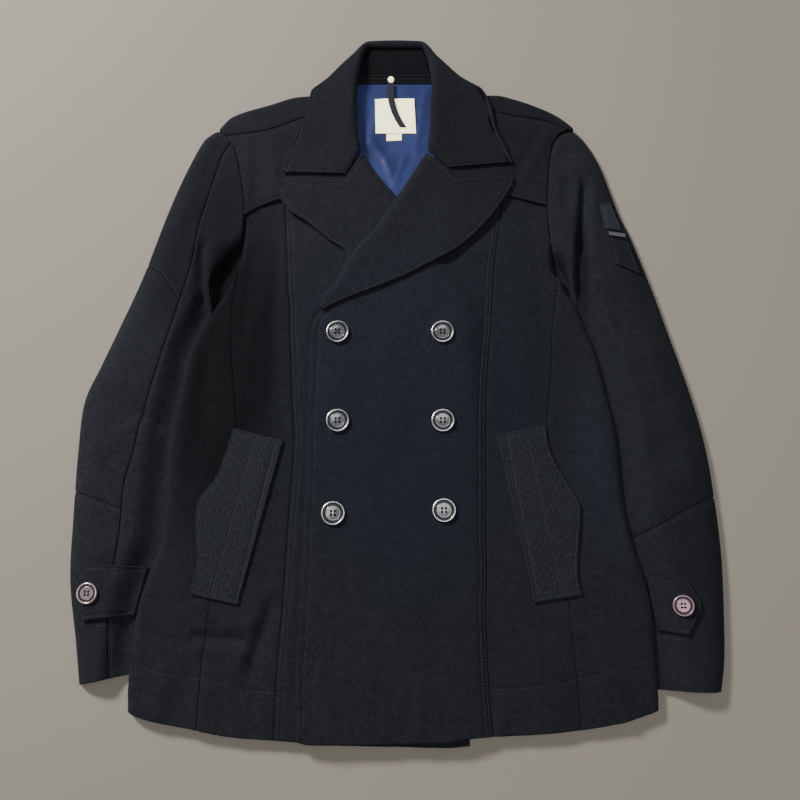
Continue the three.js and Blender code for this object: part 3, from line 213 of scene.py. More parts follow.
def soft_light(name, spot, size, watts):
    data = bpy.data.lights.new(name, "AREA")
    data.shape = "DISK"
    data.size = size
    data.energy = watts
    lamp = into_scene(name, data)
    lamp.location = spot
    lamp.rotation_euler = (-Vector(spot)).to_track_quat("-Z", "Y").to_euler()


soft_light("window", (-1.5, 1.35, 1.3), 0.45, 78)
soft_light("ceiling", (0.3, -0.35, 2.1), 1.6, 19)
world = bpy.data.worlds.new("room")
world.use_nodes = True
feed(world.node_tree, world.node_tree.nodes["Background"], {"Color": ROOM_COLOUR, "Strength": ROOM_STRENGTH})
bpy.context.scene.world = world
print("camera", CAMERA_HEIGHT, "m up, tipped", CAMERA_TILT, "degrees, lens", LENS, "mm")

# %% [markdown]
# The coat's sizes are the same as in its CAD pattern: rows that cross the body at one height, the lines of
# its edges and hems, and the heights of its layers. Each table has named columns.

# %% Sizes
SEAM = 0.3
REST = 0.3
BACK_CLOTH = 3.2
FRONT_CLOTH = 3.6
YOKE_CLOTH = 2.8
LAPEL_CLOTH = 3.0
SLEEVE_CLOTH = 2.6
UNDER_SLEEVE_CLOTH = 2.2
POCKET_CLOTH = 2.6
TAB_CLOTH = 2.8
LINING_CLOTH = 1.0
FRONT_TOP = 10.6
FRONT_DIP = 2.4
YOKE_TOP = 11.4
UPPER_FRONT_LIFT = FRONT_CLOTH + REST
LINING_TOP = BACK_CLOTH + REST + LINING_CLOTH
RIGHT_LAPEL_TOP = YOKE_TOP + REST + LAPEL_CLOTH
LEAF_TOP = 15.2
LAPEL_FLAT_TOP = YOKE_TOP + 0.5 + LAPEL_CLOTH
LAPEL_OVERLAP_LIFT = 3.1
SIDE_ROLL = 9.0
TUCK_TOP = 5.0
TUCK_CLEAR = 5.6
BODY_ROWS = table("y right_side right_pocket_seam right_seam left_seam left_pocket_seam left_side", [
    (277, -214, -214, -138, 126, 210, 210),
    (264, -202, -202, -137, 125, 189, 189),
    (250, -192, -192, -136, 124, 182, 182),
    (220, -184, -184, -134, 122, 177, 177),
    (166, -177, -177, -130, 119, 173, 173),
    (139, -177, -177, -128, 115, 174, 174),
    (112, -179, -179, -126, 111, 178, 178),
    (81, -189, -182, -124, 108, 179, 187),
    (53, -204, -185, -121, 106, 176, 201),
    (26, -218, -185, -120, 104, 172, 210),
    (0, -227, -183, -118, 101, 170, 219),
    (-50, -235, -177, -115, 97, 165, 229),
    (-100, -242, -172, -111, 95, 160, 237),
    (-160, -245, -176, -113, 94, 163, 239),
    (-205, -247, -183, -115, 93, 168, 246),
    (-231, -255, -187, -116, 93, 171, 253),
    (-280, -267, -193, -118, 91, 176, 262),
    (-340, -270, -197, -121, 92, 180, 262),
    (-410, -270, -199, -122, 96, 183, 259),
])
FRONT_EDGE_ROWS = table("y left right", [
    (-410, -99, 72), (-333, -101, 72), (-255, -98, 72), (-74, -96, 72), (26, -95, 72), (48, -84, 70),
    (80, -61, 52), (115, -43, 28), (148, -16, 10), (183, 6, -7), (205, 20, -18),
])
HEM_ROWS = table("x under upper back", [
    (-275, -372, -372, -369), (-242, -382, -382, -379), (-203, -389, -389, -386), (-166, -396, -396, -393),
    (-100, -401, -400, -397), (-86, -403, -403, -398), (0, -405, -402, -398), (48, -406, -401, -396),
    (74, -404, -397, -393), (136, -400, -394, -391), (180, -396, -390, -387), (219, -390, -384, -381),
    (265, -380, -371, -368),
])
YOKE_EDGE_ROWS = table("x y", [
    (-180, 162), (-159, 175), (-135, 184), (-90, 191), (0, 194), (80, 192), (129, 188), (152, 182), (176, 176),
])
SHOULDER_ROWS = table("x seam line", [
    (-215, 266, 277), (-197, 268, 296), (-153, 275, 312), (-118, 289, 323), (-95, 296, 324.5), (-55, 306, 328),
    (0, 308, 330), (50, 306, 328), (95, 302, 324.5), (118, 298, 325), (142, 293, 319), (170, 288, 308),
    (192, 280, 296), (212, 270, 277),
])
NECK_SEAM = 340.1
ARMPIT_EDGE = UNDER_SLEEVE_CLOTH + 0.6
STRIP_END = 62
print(len(BODY_ROWS), "rows cross the body, and", len(HEM_ROWS), "go round its hem")

# %% [markdown]
# Folds are soft ridges and troughs along straight lines, uneven in length and depth as in the photograph.
# The first ones are in the CAD solids too. The finer ones are added to the cloth only.

# %% Folds
FOLD = "x0 y0 x1 y1 width rise"
BODY_FOLDS = table(FOLD, [
    (-202, -302, -150, -306, 9, -1.5),
    (-127, -272, -146, -335, 9, -1.5),
    (-150, -290, -168, -345, 13, 1.5),
    (-191, -340, -198, -392, 11, 1.9),
    (-213, -345, -217, -380, 9, -1.3),
    (-234, -335, -238, -372, 10, 1.6),
    (-211, -8, -210, -52, 9, -1.6),
    (-232, -150, -229, -166, 12, 1.4),
    (-152, 60, -158, -50, 15, 1.1),
    (140, 60, 137, -50, 15, 1.1),
    (208, -296, 216, -366, 13, 1.5),
    (184, -312, 187, -378, 12, -1.2),
    (146, -310, 150, -380, 14, 1.2),
    (214, -60, 224, -150, 12, 1.2),
])
BODY_CREASES = table(FOLD, [
    (-206, -301, -158, -305, 4.5, -2.4),
    (-208, -312, -156, -317, 6, 1.6),
    (-176, -292, -150, -288, 5, 1.2),
    (-129, -270, -147, -332, 6, -1.5),
    (-141, -272, -158, -330, 7, 1.3),
    (-245, -296, -212, -312, 6, -1.2),
    (-236, -268, -204, -262, 6, -0.9),
    (-176, -280, -150, -276, 5, 0.8),
    (206, -300, 230, -318, 6, -1.0),
    (150, -300, 172, -296, 6, -0.8),
    (-84, -318, -90, -372, 7, -0.7),
    (40, -330, 44, -388, 8, -0.7),
    (-20, -250, 30, -262, 12, 0.5),
    (-210, -14, -210, -44, 3.5, -0.8),
    (-140, 150, -150, 40, 7, 1.0),
    (-163, 120, -172, 20, 6, -1.0),
    (-152, 20, -160, -80, 6, -0.8),
    (-222, -20, -232, -120, 6, 1.0),
    (-88, 40, -86, -60, 7, -0.6),
    (132, 150, 128, 30, 7, 0.5),
    (158, 130, 162, 30, 6, -0.5),
    (-225, -280, -216, -330, 6, 0.6),
    (-252, -290, -246, -350, 6, -0.5),
    (236, -200, 244, -290, 7, 0.6),
    (20, -300, 26, -385, 9, 0.5),
    (-40, -290, -46, -380, 9, -0.4),
    (-140, 150, -137, -60, 9, -1.2),
    (-205, -60, -222, -150, 9, -1.2),
    (-263, -329, -233, -338, 3.6, -0.45),
    (-233, -338, -189, -343, 3.6, -0.45),
    (-189, -343, -158, -352, 3.6, -0.45),
    (-158, -352, -113, -356, 3.6, -0.45),
    (96, -352, 124, -351, 3.6, -0.45),
    (124, -351, 168, -346, 3.6, -0.45),
    (168, -346, 210, -336, 3.6, -0.45),
    (210, -336, 252, -324, 3.6, -0.45),
])
YOKE_FOLDS = table(FOLD, [
    (167, 273, 137, 214, 5, -0.7),
    (178, 268, 149, 210, 6, 1.3),
    (120, 268, 112, 200, 8, 0.6),
    (-165, 262, -163, 185, 5, -0.7),
    (-147, 264, -143, 190, 7, 1.2),
    (-131, 250, -130, 195, 4, -0.5),
    (-177, 255, -174, 190, 4, 0.8),
])
RIGHT_SLEEVE_FOLDS = table(FOLD, [
    (-281, -67, -256, -86, 10, -2.2),
    (-222, 125, -221, 50, 8, -2),
    (-262, 150, -240, 175, 14, 1.3),
    (-322, -40, -296, -60, 12, -1.4),
    (-320, -112, -296, -96, 12, 1.3),
    (-305, -215, -272, -205, 12, 1.2),
])
RIGHT_SLEEVE_CREASES = table(FOLD, [
    (-278, -69, -256, -86, 3.5, -1.6),
    (-222, 122, -219, 58, 4.5, -2.4),
    (-234, 118, -231, 66, 6, 1.0),
    (-236, 190, -228, 130, 6, 0.7),
    (-318, -60, -290, -78, 5, -0.6),
    (-300, -240, -268, -232, 6, -0.5),
    (-250, 60, -240, -10, 7, -0.6),
])
LEFT_SLEEVE_FOLDS = table(FOLD, [
    (219, 205, 211, 128, 8, -3.4),
    (211, 128, 208, 66, 8, -3.8),
    (199, 243, 200, 239, 9, -1.6),
    (197, 200, 198, 178, 7, -1.5),
    (300, 0, 262, -14, 13, 1.4),
    (312, -92, 280, -112, 12, -1.4),
    (316, -132, 284, -150, 13, 1.3),
    (318, -205, 286, -190, 12, -1.1),
])
LEFT_SLEEVE_CREASES = table(FOLD, [
    (217, 200, 210, 120, 4, -2.8),
    (210, 120, 204, 48, 4, -2.4),
    (208, 196, 201, 118, 4.5, 1.2),
    (197, 249, 206, 241, 5, -1.7),
    (196, 228, 204, 222, 6, 1.1),
    (193, 207, 201, 200, 5, -1.8),
    (193, 183, 199, 177, 5, -1.6),
    (228, 200, 221, 110, 6, 1.2),
    (296, -52, 270, -62, 5, -0.6),
    (314, -112, 286, -128, 5, -0.6),
    (290, -240, 262, -236, 6, 0.5),
    (246, 60, 240, -30, 7, -0.7),
])
print("folds and creases of the body:", len(BODY_FOLDS), len(BODY_CREASES))

# %% [markdown]
# Small helpers. A line through a table never overshoots its rows. A curve is a smooth line by its own length.

# %% Lines and curves
def through(rows, given, wanted):
    """A smooth line through one column of a table, by another column."""
    line = sorted((row[given], row[wanted]) for row in rows)
    x, y = (np.array(c, float) for c in zip(*line))
    rise = np.diff(y) / np.diff(x)
    slope = np.zeros(len(x))
    slope[0], slope[-1] = rise[0], rise[-1]
    same = rise[:-1] * rise[1:] > 0
    slope[1:-1][same] = 2 * rise[:-1][same] * rise[1:][same] / (rise[:-1][same] + rise[1:][same])

    def at(v):
        v = np.asarray(v, float)
        i = np.clip(np.searchsorted(x, v, side="left") - 1, 0, len(x) - 2)
        span = x[i + 1] - x[i]
        t = np.clip((v - x[i]) / span, 0, 1)
        a, b, c, d = 2 * t**3 - 3 * t**2 + 1, t**3 - 2 * t**2 + t, 3 * t**2 - 2 * t**3, t**3 - t**2
        return a * y[i] + b * span * slope[i] + c * y[i + 1] + d * span * slope[i + 1]

    return at


def bent(points):
    """A broken line, by shares of its own length."""
    points = np.array(points, float)
    run = np.concatenate([[0], np.cumsum(np.hypot(*np.diff(points, axis=0).T))])
    run /= run[-1]
    return lambda t: np.stack([np.interp(t, run, points[:, k]) for k in (0, 1)], -1)


def curved(points):
    """A smooth line through points, by shares of its own length."""
    p = np.array(points, float)
    p = np.vstack([p[:1], p, p[-1:]])
    t = np.linspace(0, 1, 40, endpoint=False)[:, None]
    dense = []
    for a, b, c, d in zip(p, p[1:], p[2:], p[3:]):
        v0, v1 = (c - a) / 2, (d - b) / 2
        dense.append((2 * b - 2 * c + v0 + v1) * t**3 + (-3 * b + 3 * c - 2 * v0 - v1) * t**2 + v0 * t + b)
    return bent(np.vstack([*dense, p[-1:]]))


def lerp(a, b, t):
    return a + (b - a) * t


def smooth(v, low, high):
    t = np.clip((np.asarray(v, float) - low) / (high - low), 0, 1)
    return t * t * (3 - 2 * t)


print("middle of the upper hem, mm:", through(HEM_ROWS, "x", "upper")(0))

# %% [markdown]
# A pattern piece is drawn by four lines: two that go up it and two that go across. A Coons patch fills the
# space between them, and that gives the piece its grid. The coat's own lines come straight from the tables.

# %% Patches
def up_line(line, low, high):
    return lambda t: np.stack(np.broadcast_arrays(line(lerp(low, high, t)), lerp(low, high, t)), -1)


def across_line(line, low, high):
    return lambda t: np.stack(np.broadcast_arrays(lerp(low, high, t), line(lerp(low, high, t))), -1)


def coons(start, end, bottom, top):
    corners = [[start(0.0), end(0.0)], [start(1.0), end(1.0)]]

    def at(u, v):
        u, v = np.broadcast_arrays(np.asarray(u, float), np.asarray(v, float))
        U, V = u[..., None], v[..., None]
        ruled = (1 - U) * start(v) + U * end(v) + (1 - V) * bottom(u) + V * top(u)
        low = (1 - U) * corners[0][0] + U * corners[0][1]
        high = (1 - U) * corners[1][0] + U * corners[1][1]
        return ruled - (1 - V) * low - V * high

    return at


def meet(upward, across, guess):
    """The height at which a line going up crosses a line going across."""
    y = guess
    for _ in range(30):
        y = float(across(upward(y)))
    return y


def width_of(plan, v):
    v = np.asarray(v, float)
    return np.linalg.norm(plan(np.ones_like(v), v) - plan(np.zeros_like(v), v), axis=-1)


def panel_plan(start, end, bottom, top):
    low = [meet(start, bottom, -390), meet(end, bottom, -390)]
    high = [meet(start, top, 200), meet(end, top, 200)]
    return coons(
        up_line(start, low[0], high[0]), up_line(end, low[1], high[1]),
        across_line(bottom, float(start(low[0])), float(end(low[1]))),
        across_line(top, float(start(high[0])), float(end(high[1]))),
    )


def column(name, shift=0.0):
    line = through(BODY_ROWS, "y", name)
    return lambda y: line(y) + shift


right_side, left_side = column("right_side"), column("left_side")
free_edge = through(FRONT_EDGE_ROWS, "y", "left")
under_edge = through(FRONT_EDGE_ROWS, "y", "right")
under_hem = through(HEM_ROWS, "x", "under")
upper_hem = through(HEM_ROWS, "x", "upper")
back_hem = through(HEM_ROWS, "x", "back")
yoke_edge = through(YOKE_EDGE_ROWS, "x", "y")
shoulder_seam = through(SHOULDER_ROWS, "x", "seam")
shoulder_line = through(SHOULDER_ROWS, "x", "line")
for height in (160, 0, -160, -340):
    print("coat at y", height, "is", round(float(left_side(height) - right_side(height)), 1), "mm wide")

# %% [markdown]
# Wool never lies dead flat. A low, slow swell of a few tenths of a millimetre lies under the drawn folds. It
# is a sum of smooth waves with fixed seeds, so it comes out the same in every run.

# %% Heights of the layers
def fold_height(folds, x, y):
    """Each fold is a soft ridge or trough round its straight line."""
    height = np.zeros(np.broadcast(x, y).shape)
    for f in folds:
        dx, dy = f["x1"] - f["x0"], f["y1"] - f["y0"]
        t = np.clip(((x - f["x0"]) * dx + (y - f["y0"]) * dy) / (dx * dx + dy * dy), 0, 1)
        away = np.hypot(x - lerp(f["x0"], f["x1"], t), y - lerp(f["y0"], f["y1"], t))
        height = height + f["rise"] * np.exp(-((away / f["width"]) ** 2))
    return height


def swell(x, y, seed, size=60.0, depth=0.35, waves=9):
    random = np.random.default_rng(seed)
    height = np.zeros(np.broadcast(x, y).shape)
    for _ in range(waves):
        angle, phase = random.uniform(0, 2 * math.pi, 2)
        length = size * random.uniform(0.6, 1.7)
        height = height + np.sin((x * math.cos(angle) + y * math.sin(angle)) * 2 * math.pi / length + phase)
    return depth * height / math.sqrt(waves)


def under_top(x, y):
    return FRONT_TOP - FRONT_DIP * smooth(y, 120, 162) + fold_height(BODY_FOLDS, x, y)


def upper_top(x, y):
    return under_top(x, y) + UPPER_FRONT_LIFT * smooth(under_edge(y) + 27 - x, 0, 22)


def body_cloth(base):
    def height(x, y):
        puckered_hem = swell(x, 0.3 * y, 61, 21, 0.45) * smooth(-y, 340, 385)
        return base(x, y) + fold_height(BODY_CREASES, x, y) + swell(x, y, 3) + puckered_hem

    return height


def round_up(away, radius):
    """Rises from 0 at an edge to 1 at the radius, as a quarter of a circle."""
    return np.sqrt(1 - (1 - np.clip(away / radius, 0, 1)) ** 2)


print("middle of the fronts, mm high:", float(under_top(0, 0)), "under,", float(upper_top(0, 0)), "upper")

# %% [markdown]
# A cloth piece is a fine grid. Its lines stand close at the edges, where the cloth turns, and beside each row
# of stitches, where it is drawn in. Between them they are as far apart as the piece allows.

# %% Where a piece's grid has its lines
EDGE_STEPS = [0.0, 0.12, 0.35, 0.7, 1.15, 1.7, 2.6]
ROW_STEPS = [-2.0, -1.2, -0.6, 0.0, 0.6, 1.2, 2.0]
RIM_STEPS = 10


def edge_marks(rows):
    """Distances from one edge where the grid needs a line: its rounding and each stitched row."""
    return np.array(sorted(EDGE_STEPS + [d + step for d in rows for step in ROW_STEPS if d + step > 2.8]))


def fit(marks, roll, size):
    """Those distances, or steps of a rolled rim, for each width in size."""
    if roll.any():
        turn = np.linspace(0, math.pi / 2, RIM_STEPS)
        rim = roll[:, None] * (1 - np.cos(turn))
        beyond = marks[marks > roll.max() + 0.5]
        return np.hstack([rim, np.broadcast_to(beyond, (len(size), len(beyond)))])
    return marks * np.minimum(size / (4 * marks[-1]), 1)[:, None]


def stations(width, rolls, cells, marks):
    """Shares of the width, one row per place along the piece, all with the same number of steps."""
    first = fit(marks["start"], rolls[0], width)
    last = width[:, None] - fit(marks["end"], rolls[1], width)[:, ::-1]
    k = np.arange(1, cells) / cells
    middle = lerp(first[:, -1:], last[:, :1], k)
    return np.hstack([first, middle, last]) / width[:, None]


print("finest step at an edge:", EDGE_STEPS[1], "mm, beside a row:", ROW_STEPS[4], "mm")

# %% [markdown]
# Two such grids, one for each face of the cloth, are closed by a rim into one sheet. It has a UV map in
# metres of cloth, measured from its own edges, for weaves and ribs that follow the pattern piece. What the
# piece stands for, and the size that it was cut to, are said here too.

# %% A closed sheet
LEAST_SIDE = 0.0101  # metres, for the narrowest of trims
LEAST_SHARE = 0.31  # of its box, for a piece that is mostly a slant


def rounding(away, radius):
    """How far a rounded edge drops below the face of the cloth."""
    return radius * (1 - round_up(away, radius))


def grid_normals(p):
    across, along = np.gradient(p, axis=1), np.gradient(p, axis=0)
    n = np.cross(across, along)
    length = np.linalg.norm(n, axis=-1, keepdims=True)
    n /= np.maximum(length, 1e-9)
    return n * np.where(np.median(n[..., 2]) < 0, -1.0, 1.0)


def cells_of(p):
    return np.cross(p[:-1, 1:] - p[:-1, :-1], p[1:, :-1] - p[:-1, :-1])


def shell(name, upper, lower, uv, finish):
    """The faces are grids of points in pattern millimetres."""
    rows, columns = upper.shape[:2]
    points = np.vstack([upper.reshape(-1, 3), lower.reshape(-1, 3)])
    points[:, :2] += SHIFT
    index = np.arange(rows * columns).reshape(rows, columns)
    a, b, c, d = index[:-1, :-1], index[:-1, 1:], index[1:, 1:], index[1:, :-1]
    top = np.stack([a, b, c, d], -1).reshape(-1, 4)
    rim = np.concatenate([index[0, :], index[1:, -1], index[-1, -2::-1], index[-2:0:-1, 0]])
    nxt = np.roll(rim, -1)
    n = rows * columns
    sides = np.stack([rim + n, nxt + n, nxt, rim], -1)
    faces = np.vstack([top, top[:, ::-1] + n, sides])
    if np.median(cells_of(upper)[..., 2]) < 0:
        faces = faces[:, ::-1]
    mesh = bpy.data.meshes.new(name)
    mesh.from_pydata((points * MM).tolist(), [], faces.tolist())
    layer = mesh.uv_layers.new(name="cloth")
    flat = np.vstack([uv.reshape(-1, 2)] * 2) * MM
    corners = np.zeros(len(mesh.loops), np.int32)
    mesh.loops.foreach_get("vertex_index", corners)
    layer.data.foreach_set("uv", flat[corners].astype(np.float32).ravel())
    smooth_faces(mesh)
    mesh.materials.append(finish)
    mesh.validate()
    return into_scene(name, mesh)


def lay(piece, node, upper):
    """The cut is measured along the upper face: its greatest width and length, and its area."""
    across = np.linalg.norm(np.diff(upper, axis=1), axis=-1).sum(1).max() * MM
    along = np.linalg.norm(np.diff(upper, axis=0), axis=-1).sum(0).max() * MM
    area = float(np.linalg.norm(cells_of(upper * MM), axis=-1).sum())
    width, length = round(max(across, LEAST_SIDE), 3), round(max(along, LEAST_SIDE), 3)
    area = min(max(area, LEAST_SHARE * width * length), width * length)
    stands_for(piece, node)
    print(f"{node}: cut {width} x {length} m, {round(area, 5)} m2")

# %% [markdown]
# One helper makes every cloth piece. The upper face follows the piece's own height, and the lower face is the
# same grid moved in by the cloth's thickness. Free edges are rounded by half the thickness. A sewn edge
# only dips a little, so that two of them make the groove of a seam. A row of stitches draws a trough.

# %% The cloth helper
ROW_DEPTH = 0.55
ROW_WIDTH = 1.25
THREAD_SHOWS = 0.22
GROOVE_DEPTH, GROOVE_WIDTH, SEWN_RADIUS = 0.5, 2.6, 1.0
FREE_SHARE = 0.46  # of the thickness, for the rounding of a free edge
LEAST_THICK = 0.1
STITCH_ROWS = []


def group_of(node):
    """Which sewing a row belongs to."""
    if "sleeve" in node or "cuff" in node:
        return "sleeves"
    if "pocket" in node:
        return "pockets"
    return "collar" if "collar" in node or "lapel" in node else "body"


def line_length(plan, steps):
    line = plan(np.full(steps, 0.5), np.linspace(0, 1, steps))
    return np.linalg.norm(np.diff(line, axis=0), axis=-1).sum()


def cloth(node, finish, plan, top, thick, spacing=2.9, start_roll=None, end_roll=None,
          seams="", level=False, rows=()):
    """seams names the sewn edges among start, end, bottom and top. The others are free or hidden.
    rows are lines of stitches: the edge each runs along, its distance in, and the share of the edge it takes."""
    length = line_length(plan, 80)

    def width_at(v):
        return width_of(plan, v)

    def place(u, v):
        xy, width = plan(u, v), width_at(v)
        return {"x": xy[..., 0], "y": xy[..., 1], "u": u, "v": v, "width": width,
                "from_start": u * width, "from_end": (1 - u) * width}

    def surface_at(u, v):
        p = place(u, v)
        return np.stack([p["x"], p["y"], top(p)], -1)

    distances = {edge: [row[1] for row in rows if row[0] == edge] for edge in ("start", "end", "bottom", "top")}
    marks = {edge: edge_marks(distances[edge]) for edge in distances}

    def squeeze(edge, at):
        size = width_at(at) if edge in ("start", "end") else np.full(np.shape(at), length)
        return np.minimum(size / (4 * marks[edge][-1]), 1)

    def row_line(edge, distance, run):
        """The shares u and v along one row of stitches."""
        inward = distance * squeeze(edge, run) / (width_at(run) if edge in ("start", "end") else length)
        share = inward if edge in ("start", "bottom") else 1 - inward
        return (share, run) if edge in ("start", "end") else (run, share)

    shrink = min(length / (4 * max(marks["bottom"][-1], marks["top"][-1])), 1)
    low, high = marks["bottom"] * shrink, length - marks["top"][::-1] * shrink
    cells = max(int((high[0] - low[-1]) / spacing), 3)
    V = np.concatenate([low, lerp(low[-1], high[0], np.arange(1, cells) / cells), high]) / length
    width = width_at(V)
    thick_at = thick(width) if callable(thick) else np.full_like(width, thick)
    rolls = [np.zeros_like(width) if roll is None else roll(width) for roll in (start_roll, end_roll)]
    U = stations(width, rolls, max(int(width.max() / spacing), 3), marks)
    VV = np.broadcast_to(V[:, None], U.shape)
    W = width[:, None]
    surface = surface_at(U, VV)
    normal = np.zeros_like(surface)
    normal[..., 2] = 1
    if not level:
        normal = grid_normals(surface)
    T = thick_at[:, None]
    away = {"start": U * W, "end": (1 - U) * W, "bottom": VV * length, "top": (1 - VV) * length}
    drop, raise_under = np.zeros_like(U), np.zeros_like(U)
    for edge, distance in away.items():
        if (edge == "start" and rolls[0].any()) or (edge == "end" and rolls[1].any()):
            continue
        if edge in seams.split():
            groove = GROOVE_DEPTH * np.exp(-((distance / GROOVE_WIDTH) ** 2))
            drop = np.maximum(drop, rounding(distance, SEWN_RADIUS) + groove)
        else:
            free = rounding(distance, FREE_SHARE * T)
            drop, raise_under = np.maximum(drop, free), np.maximum(raise_under, free)
    for edge, distance, *span in rows:
        first, last = span or (0, 1)
        along = VV if edge in ("start", "end") else U
        off = away[edge] - distance * squeeze(edge, along)
        shown = smooth(along, first - 0.01, first) * smooth(-along, -last - 0.01, -last)
        pucker = 1 + swell(VV * length, U * W, 71, 12, 0.3)
        drop = drop + shown * ROW_DEPTH * pucker * np.exp(-((off / ROW_WIDTH) ** 2))
        path = surface_at(*row_line(edge, distance, np.linspace(first, last, 500)))
        STITCH_ROWS.append((group_of(node), path - [0, 0, ROW_DEPTH - THREAD_SHOWS]))
    upper = surface - normal * drop[..., None]
    lower = surface - normal * np.maximum(T - raise_under, drop + LEAST_THICK)[..., None]
    lower[..., 2] = np.maximum(lower[..., 2], 0)
    upper[..., 2] = np.maximum(upper[..., 2], 0.02)
    lay(shell("cloth_" + node, upper, lower, np.dstack([U * W, VV * length]), finish),
        node, upper)


print("rows are", ROW_DEPTH, "mm deep and their thread stands", THREAD_SHOWS, "mm out of them")

# %% [markdown]
# Wool melton is a felted cloth: matt, with a soft nap that takes a faint light at grazing angles. It is a
# dark navy varied by noise of three sizes, with a faint sheen and a fine bump for the nap. Soft oval fields of
# painted shade and painted light are multiplied into its colour where the coat lies in shade or catches light.

# %% Wool
def painted_light_and_shade(tree, place, colour, painted_fields):
    """The colour multiplied by soft oval fields of painted shade and painted light."""
    for painted_field in painted_fields:
        centre = (*on_plan(painted_field["x"], painted_field["y"]), 0)
        size = (1 / (painted_field["wide"] * MM), 1 / (painted_field["high"] * MM), 0)
        moved = add(tree, "ShaderNodeVectorMath", {0: place, 1: centre}, operation="SUBTRACT")
        scaled = add(tree, "ShaderNodeVectorMath", {0: moved.outputs["Vector"], 1: size}, operation="MULTIPLY")
        away = add(tree, "ShaderNodeVectorMath", {0: scaled.outputs["Vector"]}, operation="LENGTH")
        span = {"Value": away.outputs["Value"], "From Min": 0.3, "From Max": 1, "To Min": 1, "To Max": 0}
        fade = add(tree, "ShaderNodeMapRange", span, interpolation_type="SMOOTHERSTEP")
        shade = (painted_field["red"], painted_field["green"], painted_field["blue"], 1)
        field = mix(tree, "RGBA", fade.outputs["Result"], (1, 1, 1, 1), shade)
        colour = mix(tree, "RGBA", 1, colour, field, "MULTIPLY")
    return colour


def wool_material(name, shade=1.0, painted_fields=()):
    dark, light, cool = ([shade * c for c in rgb] for rgb in WOOL_TONES)

    def build(tree, where):
        place = where["Object"]
        nap = noise(tree, place, 620, 4, 0.7)
        grain = mix(tree, "FLOAT", 0.35, nap, noise(tree, place, 170, 3, 0.6))
        colour = ramp(tree, grain, [(0.34, dark), (0.68, light)])
        tint = ramp(tree, noise(tree, place, 4, 2, 0.5), [(0.25, (0, 0, 0)), (0.85, (0.8, 0.8, 0.8))])
        colour = mix(tree, "RGBA", tint, colour, (*cool, 1))
        felt = noise(tree, place, 1500, 2, 0.6)
        return {
            "Base Color": painted_light_and_shade(tree, place, colour, painted_fields),
            "Roughness": 0.9,
            "Specular IOR Level": 0.12,
            "Sheen Weight": 0.035 * shade,
            "Sheen Roughness": 0.5,
            "Sheen Tint": (0.75, 0.78, 0.88, 1),
            "Normal": bump(tree, felt, 0.4, 0.0002, bump(tree, nap, 0.6, 0.0007)),
        }

    return new_material(name, build)


WOOL_TONES = [(0.0046, 0.0052, 0.0072), (0.0236, 0.0250, 0.0300), (0.0108, 0.0124, 0.0170)]
PAINTED_FIELD = "x y wide high red green blue"
# Painted shade and painted light on the body: fields under 1 darken the cloth where it lies in shade, fields over 1
# lighten it. The broad middle one is mostly a bluer tint.
BODY_PAINTED_LIGHT_AND_SHADE = table(PAINTED_FIELD, [
    (-190, -20, 95, 300, 0.30, 0.31, 0.32),
    (130, 40, 80, 230, 0.84, 0.87, 0.92),
    (225, -120, 60, 160, 1.18, 1.20, 1.28),
    (-200, -350, 110, 70, 1.03, 1.03, 1.03),
    (190, -370, 90, 60, 0.94, 0.94, 0.94),
    (110, 280, 170, 130, 0.74, 0.74, 0.76),
    (0, -60, 210, 290, 0.95, 0.99, 1.12),
    (-90, 300, 120, 90, 0.86, 0.86, 0.87),
])
# Painted shade on the sleeves: the two near-black ovals are the deep shade in the armpits, the narrow one a crease in
# shade, the others broad shade.
SLEEVE_PAINTED_SHADE = table(PAINTED_FIELD, [
    (-235, 150, 95, 190, 0.62, 0.63, 0.66),
    (310, -200, 40, 110, 0.86, 0.86, 0.87),
    (262, 120, 40, 130, 0.86, 0.86, 0.88),
    (-196, 88, 24, 62, 0.15, 0.15, 0.15),
    (181, 84, 17, 50, 0.15, 0.15, 0.15),
    (208, 110, 13, 100, 0.45, 0.45, 0.45),
])
# Three copies of one wool: the body's, the sleeves' painted a little lighter, and the stand's painted much darker as
# painted shade.
WOOL = wool_material("navy_wool", 1.0, BODY_PAINTED_LIGHT_AND_SHADE)
WOOL_SLEEVE = wool_material("navy_wool_sleeve", 1.06, SLEEVE_PAINTED_SHADE)
WOOL_PAINTED_SHADE = wool_material("navy_wool_stand_painted_shade", 0.42)

# %% [markdown]
# The back is one panel that lies flat on the surface, under everything else. It is hidden, so it is plain and
# its grid is coarse. Its edge stays inside the fronts', except at the shoulders, where it closes the armholes.

# %% Back
BACK_SPACING = 9
BACK_SHY = 6.5  # how far the back stays inside the shoulder line
TIP_SHY = 3.0  # and at the left shoulder's tip
RIGHT_INSET = table("y gap", [
    (-380, 6), (-366, 6), (-350, 12.8), (42, 12.8), (64, 6.4), (162, 6), (180, -0.9), (228, -0.9), (246, -5),
    (277, -5),
])
LEFT_INSET = table("y gap", [
    (-380, 12.8), (42, 12.8), (64, 8), (92, 8), (129, 6.4), (150, -0.9), (228, -0.9), (246, -5), (277, -5),
])
right_inset, left_inset = (through(rows, "y", "gap") for rows in (RIGHT_INSET, LEFT_INSET))


def level_cloth(thick):
    return lambda p: np.full(p["x"].shape, thick)


def back_top_edge(x):
    shoulder = shoulder_line(x) - BACK_SHY + (BACK_SHY - TIP_SHY) * smooth(x, 198, 206)
    return lerp(shoulder, NECK_SEAM, smooth(55 - np.abs(x + 3), 0, 8))


cloth("back", WOOL,
      panel_plan(lambda y: right_side(y) + right_inset(y), lambda y: left_side(y) - left_inset(y),
                 back_hem, back_top_edge),
      level_cloth(BACK_CLOTH), BACK_CLOTH, spacing=BACK_SPACING, level=True)

